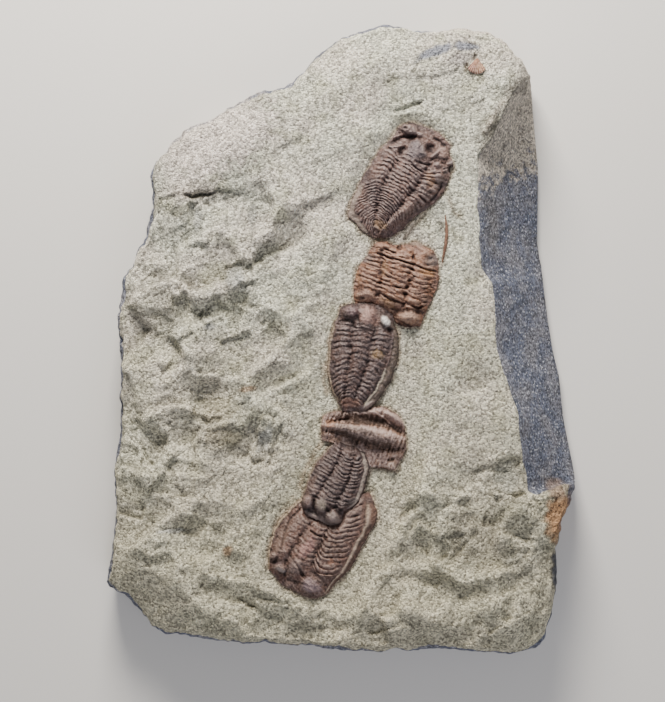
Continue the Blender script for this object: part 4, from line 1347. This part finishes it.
# The fan: its tip, the lengths of its side and middle ribs, the turns of its two sides, its rise and its depth
FAN_TIP = (52.0, 107.2)
FAN_LENGTH = (5.4, 6.4)
FAN_TURN = (-133.0, -54.0)
FAN_RISE = 0.7
FAN_FOOT = 1.6
FAN_RIBS = 9
FAN_START = 0.06
FAN_STEPS = 26
FAN_COLUMNS = 73
FAN_STAINS = (
    (51.4, 105.6, 3.0, 1.2, 60.0, "A87A5E", 0.7), (53.8, 103.0, 2.4, 2.0, -40.0, "CFA88A", 0.8),
    (49.6, 103.0, 1.8, 2.4, 0.0, "C09584", 0.7),
)


def new_tree(name, sockets):
    """A Geometry Nodes tree with named inputs: name and kind for each."""
    tree = bpy.data.node_groups.new(name, "GeometryNodeTree")
    tree.interface.new_socket("Geometry", in_out="INPUT", socket_type="NodeSocketGeometry")
    tree.interface.new_socket("Geometry", in_out="OUTPUT", socket_type="NodeSocketGeometry")
    for label, kind in sockets:
        tree.interface.new_socket(label, in_out="INPUT", socket_type=kind)
    return tree


def end_tree(tree, geometry, finish):
    """Realize the instances, set the material and hand the geometry out."""
    solid = add_node(tree, "GeometryNodeRealizeInstances", links={"Geometry": geometry})
    solid = add_node(tree, "GeometryNodeSetMaterial", links={"Geometry": solid, "Material": finish})
    add_node(tree, "NodeGroupOutput", links={0: solid})


def grown(name, data, tree, sizes):
    """Run a tree on a mesh or curve and keep the result as a plain mesh in a new object."""
    carrier = bpy.data.objects.new(name + "_carrier", data)
    bpy.context.scene.collection.objects.link(carrier)
    modifier = carrier.modifiers.new("grow", "NODES")
    modifier.node_group = tree
    for item in tree.interface.items_tree:
        if item.name in sizes:
            modifier[item.identifier] = sizes[item.name]
    shape = bpy.data.meshes.new_from_object(carrier.evaluated_get(bpy.context.evaluated_depsgraph_get()))
    bpy.data.objects.remove(carrier)
    shape.name = name
    shape.shade_smooth()
    piece = bpy.data.objects.new(name, shape)
    bpy.context.scene.collection.objects.link(piece)
    return piece


def spine_tree():
    """A rounded bar along a curve that thins to both ends."""
    tree = new_tree("tapered bar on a path", (("Width", "NodeSocketFloat"), ("Finish", "NodeSocketMaterial")))
    given = add_node(tree, "NodeGroupInput").outputs
    path = add_node(tree, "GeometryNodeResampleCurve", links={"Curve": given["Geometry"], "Count": 60})
    share = add_node(tree, "GeometryNodeSplineParameter").outputs["Factor"]
    turn = add_node(tree, "ShaderNodeMath", {"operation": "MULTIPLY"}, {0: share, 1: math.pi})
    arch = add_node(tree, "ShaderNodeMath", {"operation": "SINE"}, {0: turn})
    taper = add_node(tree, "ShaderNodeMath", {"operation": "MULTIPLY_ADD"}, {0: arch, 1: 0.65, 2: 0.35})
    half = add_node(tree, "ShaderNodeMath", {"operation": "MULTIPLY"}, {0: given["Width"], 1: 0.5})
    section = add_node(tree, "GeometryNodeCurvePrimitiveCircle", links={"Resolution": 12, "Radius": half})
    bar = add_node(tree, "GeometryNodeCurveToMesh",
                   links={"Curve": path, "Profile Curve": section, "Scale": taper, "Fill Caps": True})
    end_tree(tree, bar, given["Finish"])
    return tree


def fan_mesh(name, finish):
    """A fan of shell with ribs that spread from its tip, closed below."""
    share = np.linspace(FAN_START, 1.0, FAN_STEPS + 1)[:, None]
    over = np.linspace(0.0, 1.0, FAN_COLUMNS)[None, :]
    turn = np.radians(FAN_TURN[0] + (FAN_TURN[1] - FAN_TURN[0]) * over)
    length = FAN_LENGTH[0] + (FAN_LENGTH[1] - FAN_LENGTH[0]) * np.sin(math.pi * over)
    x, y = FAN_TIP[0] + share * length * np.cos(turn), FAN_TIP[1] + share * length * np.sin(turn)
    ridge = 0.22 * share * np.cos(2 * math.pi * FAN_RIBS * over)
    dome = FAN_RISE * np.sin(math.pi * np.clip(over, 0.02, 0.98)) * np.sin(math.pi * (0.15 + 0.75 * share))
    z = face_level(x, y) + 0.45 + dome + ridge + 0.1 * noise_at(x, y, 0.8, 93.0)
    grid = np.dstack((x, y, z))
    piece = closed_shell(name, grid, float(z.min()) - FAN_FOOT, finish)
    store(piece, "relief", (ridge / 0.25).ravel())
    store(piece, "stain", stain_colours(x, y, FAN_STAINS, (), 94.0).reshape(-1, 4), "FLOAT_COLOR")
    return piece


pale_shell = shell_finish("pale brown calcite shell", "#77594A", "#BD9A8A", "#C7A28D", "#DABFB2", roughness=0.6)
spine_path = bpy.data.curves.new("spine_path", "CURVE")
spine_path.dimensions = "3D"
spline = spine_path.splines.new("POLY")
spline.points.add(len(SPINE_LINE) - 1)
spine_x, spine_y = np.array(SPINE_LINE).T
spine_z = face_level(spine_x, spine_y) + SPINE_RISE - SPINE_WIDTH / 2
for spline_point, place in zip(spline.points, true_places(np.column_stack((spine_x, spine_y, spine_z)))):
    spline_point.co = (*place, 1.0)
brown_spine = shell_finish("brown calcite spine", "#3E2A22", "#6C4C3D", "#765746", "#947563", roughness=0.6)
spine = grown("cheek_spine_shell", spine_path, spine_tree(), {"Width": SPINE_WIDTH * MM, "Finish": brown_spine})
store(spine, "stain", np.zeros((len(spine.data.vertices), 4)), "FLOAT_COLOR")
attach(spine, "root")
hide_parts("cheek_spine")
fan = fan_mesh("ribbed_shell_fan", pale_shell)
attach(fan, "root")
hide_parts("shell_fragment")

# Grains that stand out of the rough parts of the rock, and granules on the heads of the fossils. They are part of
# the stone and of the shells: about 6,900 on the rock and several hundred on a fossil. The smallest and the largest
# radius of each kind are in metres.
ROCK_GRAINS = {"Grains per square metre": 290000.0, "Smallest": 0.00014, "Largest": 0.00030, "Seed": 5}
SHELL_GRANULES = {"Grains per square metre": 1900000.0, "Smallest": 0.00012, "Largest": 0.00026, "Seed": 9}


def grain_tree():
    """Small lumps over a surface, the more of them the higher its rough attribute is, half sunk in it."""
    tree = new_tree("lumps on a surface", (
        ("Grains per square metre", "NodeSocketFloat"), ("Smallest", "NodeSocketFloat"),
        ("Largest", "NodeSocketFloat"), ("Seed", "NodeSocketInt"), ("Finish", "NodeSocketMaterial")))
    given = add_node(tree, "NodeGroupInput").outputs
    rough = add_node(tree, "GeometryNodeInputNamedAttribute", {"data_type": "FLOAT"}, {"Name": "rough"})
    density = add_node(tree, "ShaderNodeMath", {"operation": "MULTIPLY"},
                       {0: given["Grains per square metre"], 1: rough})
    spots = add_node(tree, "GeometryNodeDistributePointsOnFaces",
                     links={"Mesh": given["Geometry"], "Density": density, "Seed": given["Seed"]})
    lump = add_node(tree, "GeometryNodeMeshIcoSphere", links={"Radius": 1.0, "Subdivisions": 1})
    size = add_node(tree, "FunctionNodeRandomValue", {"data_type": "FLOAT"},
                    {2: given["Smallest"], 3: given["Largest"], "Seed": given["Seed"]}).outputs[1]
    turn = add_node(tree, "FunctionNodeRandomValue", {"data_type": "FLOAT_VECTOR"},
                    {0: (0.0, 0.0, 0.0), 1: (6.28, 6.28, 6.28), "Seed": 3}).outputs[0]
    lumps = add_node(tree, "GeometryNodeInstanceOnPoints", links={
        "Points": spots.outputs["Points"], "Instance": lump, "Rotation": turn, "Scale": size})
    end_tree(tree, lumps, given["Finish"])
    return tree


lumps_on_surface = grain_tree()
grains = grown("rock_grains", slab.data, lumps_on_surface, {**ROCK_GRAINS, "Finish": split_siltstone})
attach(grains, "root")
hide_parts("matrix_slab")
for node, shell in shells.items():
    granules = grown(shell.name + "_granules", shell.data, lumps_on_surface,
                     {**SHELL_GRANULES, "Finish": shell.data.materials[0]})
    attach(granules, "root")
    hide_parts(node)

# The floor is a plain pale sheet, and the light a soft lamp beyond the top of the slab with a dim room round it.
FLOOR_SIZE = 3.0
floor_mesh = bpy.data.meshes.new("floor")
half = FLOOR_SIZE / 2
corners = [(-half, -half, 0), (half, -half, 0), (half, half, 0), (-half, half, 0)]
floor_mesh.from_pydata(corners, [], [(0, 1, 2, 3)])
floor = bpy.data.objects.new("floor", floor_mesh)
bpy.context.scene.collection.objects.link(floor)
floor_finish = bpy.data.materials.new("pale paper")
floor_finish.use_nodes = True
floor_finish.node_tree.nodes["Principled BSDF"].inputs["Base Color"].default_value = (*linear("D8D6D2"), 1)
floor_finish.node_tree.nodes["Principled BSDF"].inputs["Roughness"].default_value = 0.8
floor_mesh.materials.append(floor_finish)


def add_lamp(name, place_mm, target_mm, size, power, colour):
    """A soft square lamp that faces a point."""
    lamp = bpy.data.lights.new(name, "AREA")
    lamp.size = size
    lamp.energy = power
    lamp.color = linear(colour)
    thing = bpy.data.objects.new(name, lamp)
    thing.location = Vector(place_mm) * MM
    thing.rotation_euler = (Vector(target_mm) - Vector(place_mm)).to_track_quat("-Z", "Y").to_euler()
    bpy.context.scene.collection.objects.link(thing)


SLAB_MIDDLE = (0.0, 0.0, 30.0)
add_lamp("key lamp", (-80.0, 520.0, 330.0), SLAB_MIDDLE, size=0.24, power=10.0, colour="FFF8EE")
add_lamp("fill lamp", (200.0, -500.0, 600.0), SLAB_MIDDLE, size=0.6, power=2.6, colour="F4F4FF")
world = bpy.data.worlds.new("room")
bpy.context.scene.world = world
world.use_nodes = True
world.node_tree.nodes["Background"].inputs["Color"].default_value = (*linear("F2F2F2"), 1)
world.node_tree.nodes["Background"].inputs["Strength"].default_value = 0.3
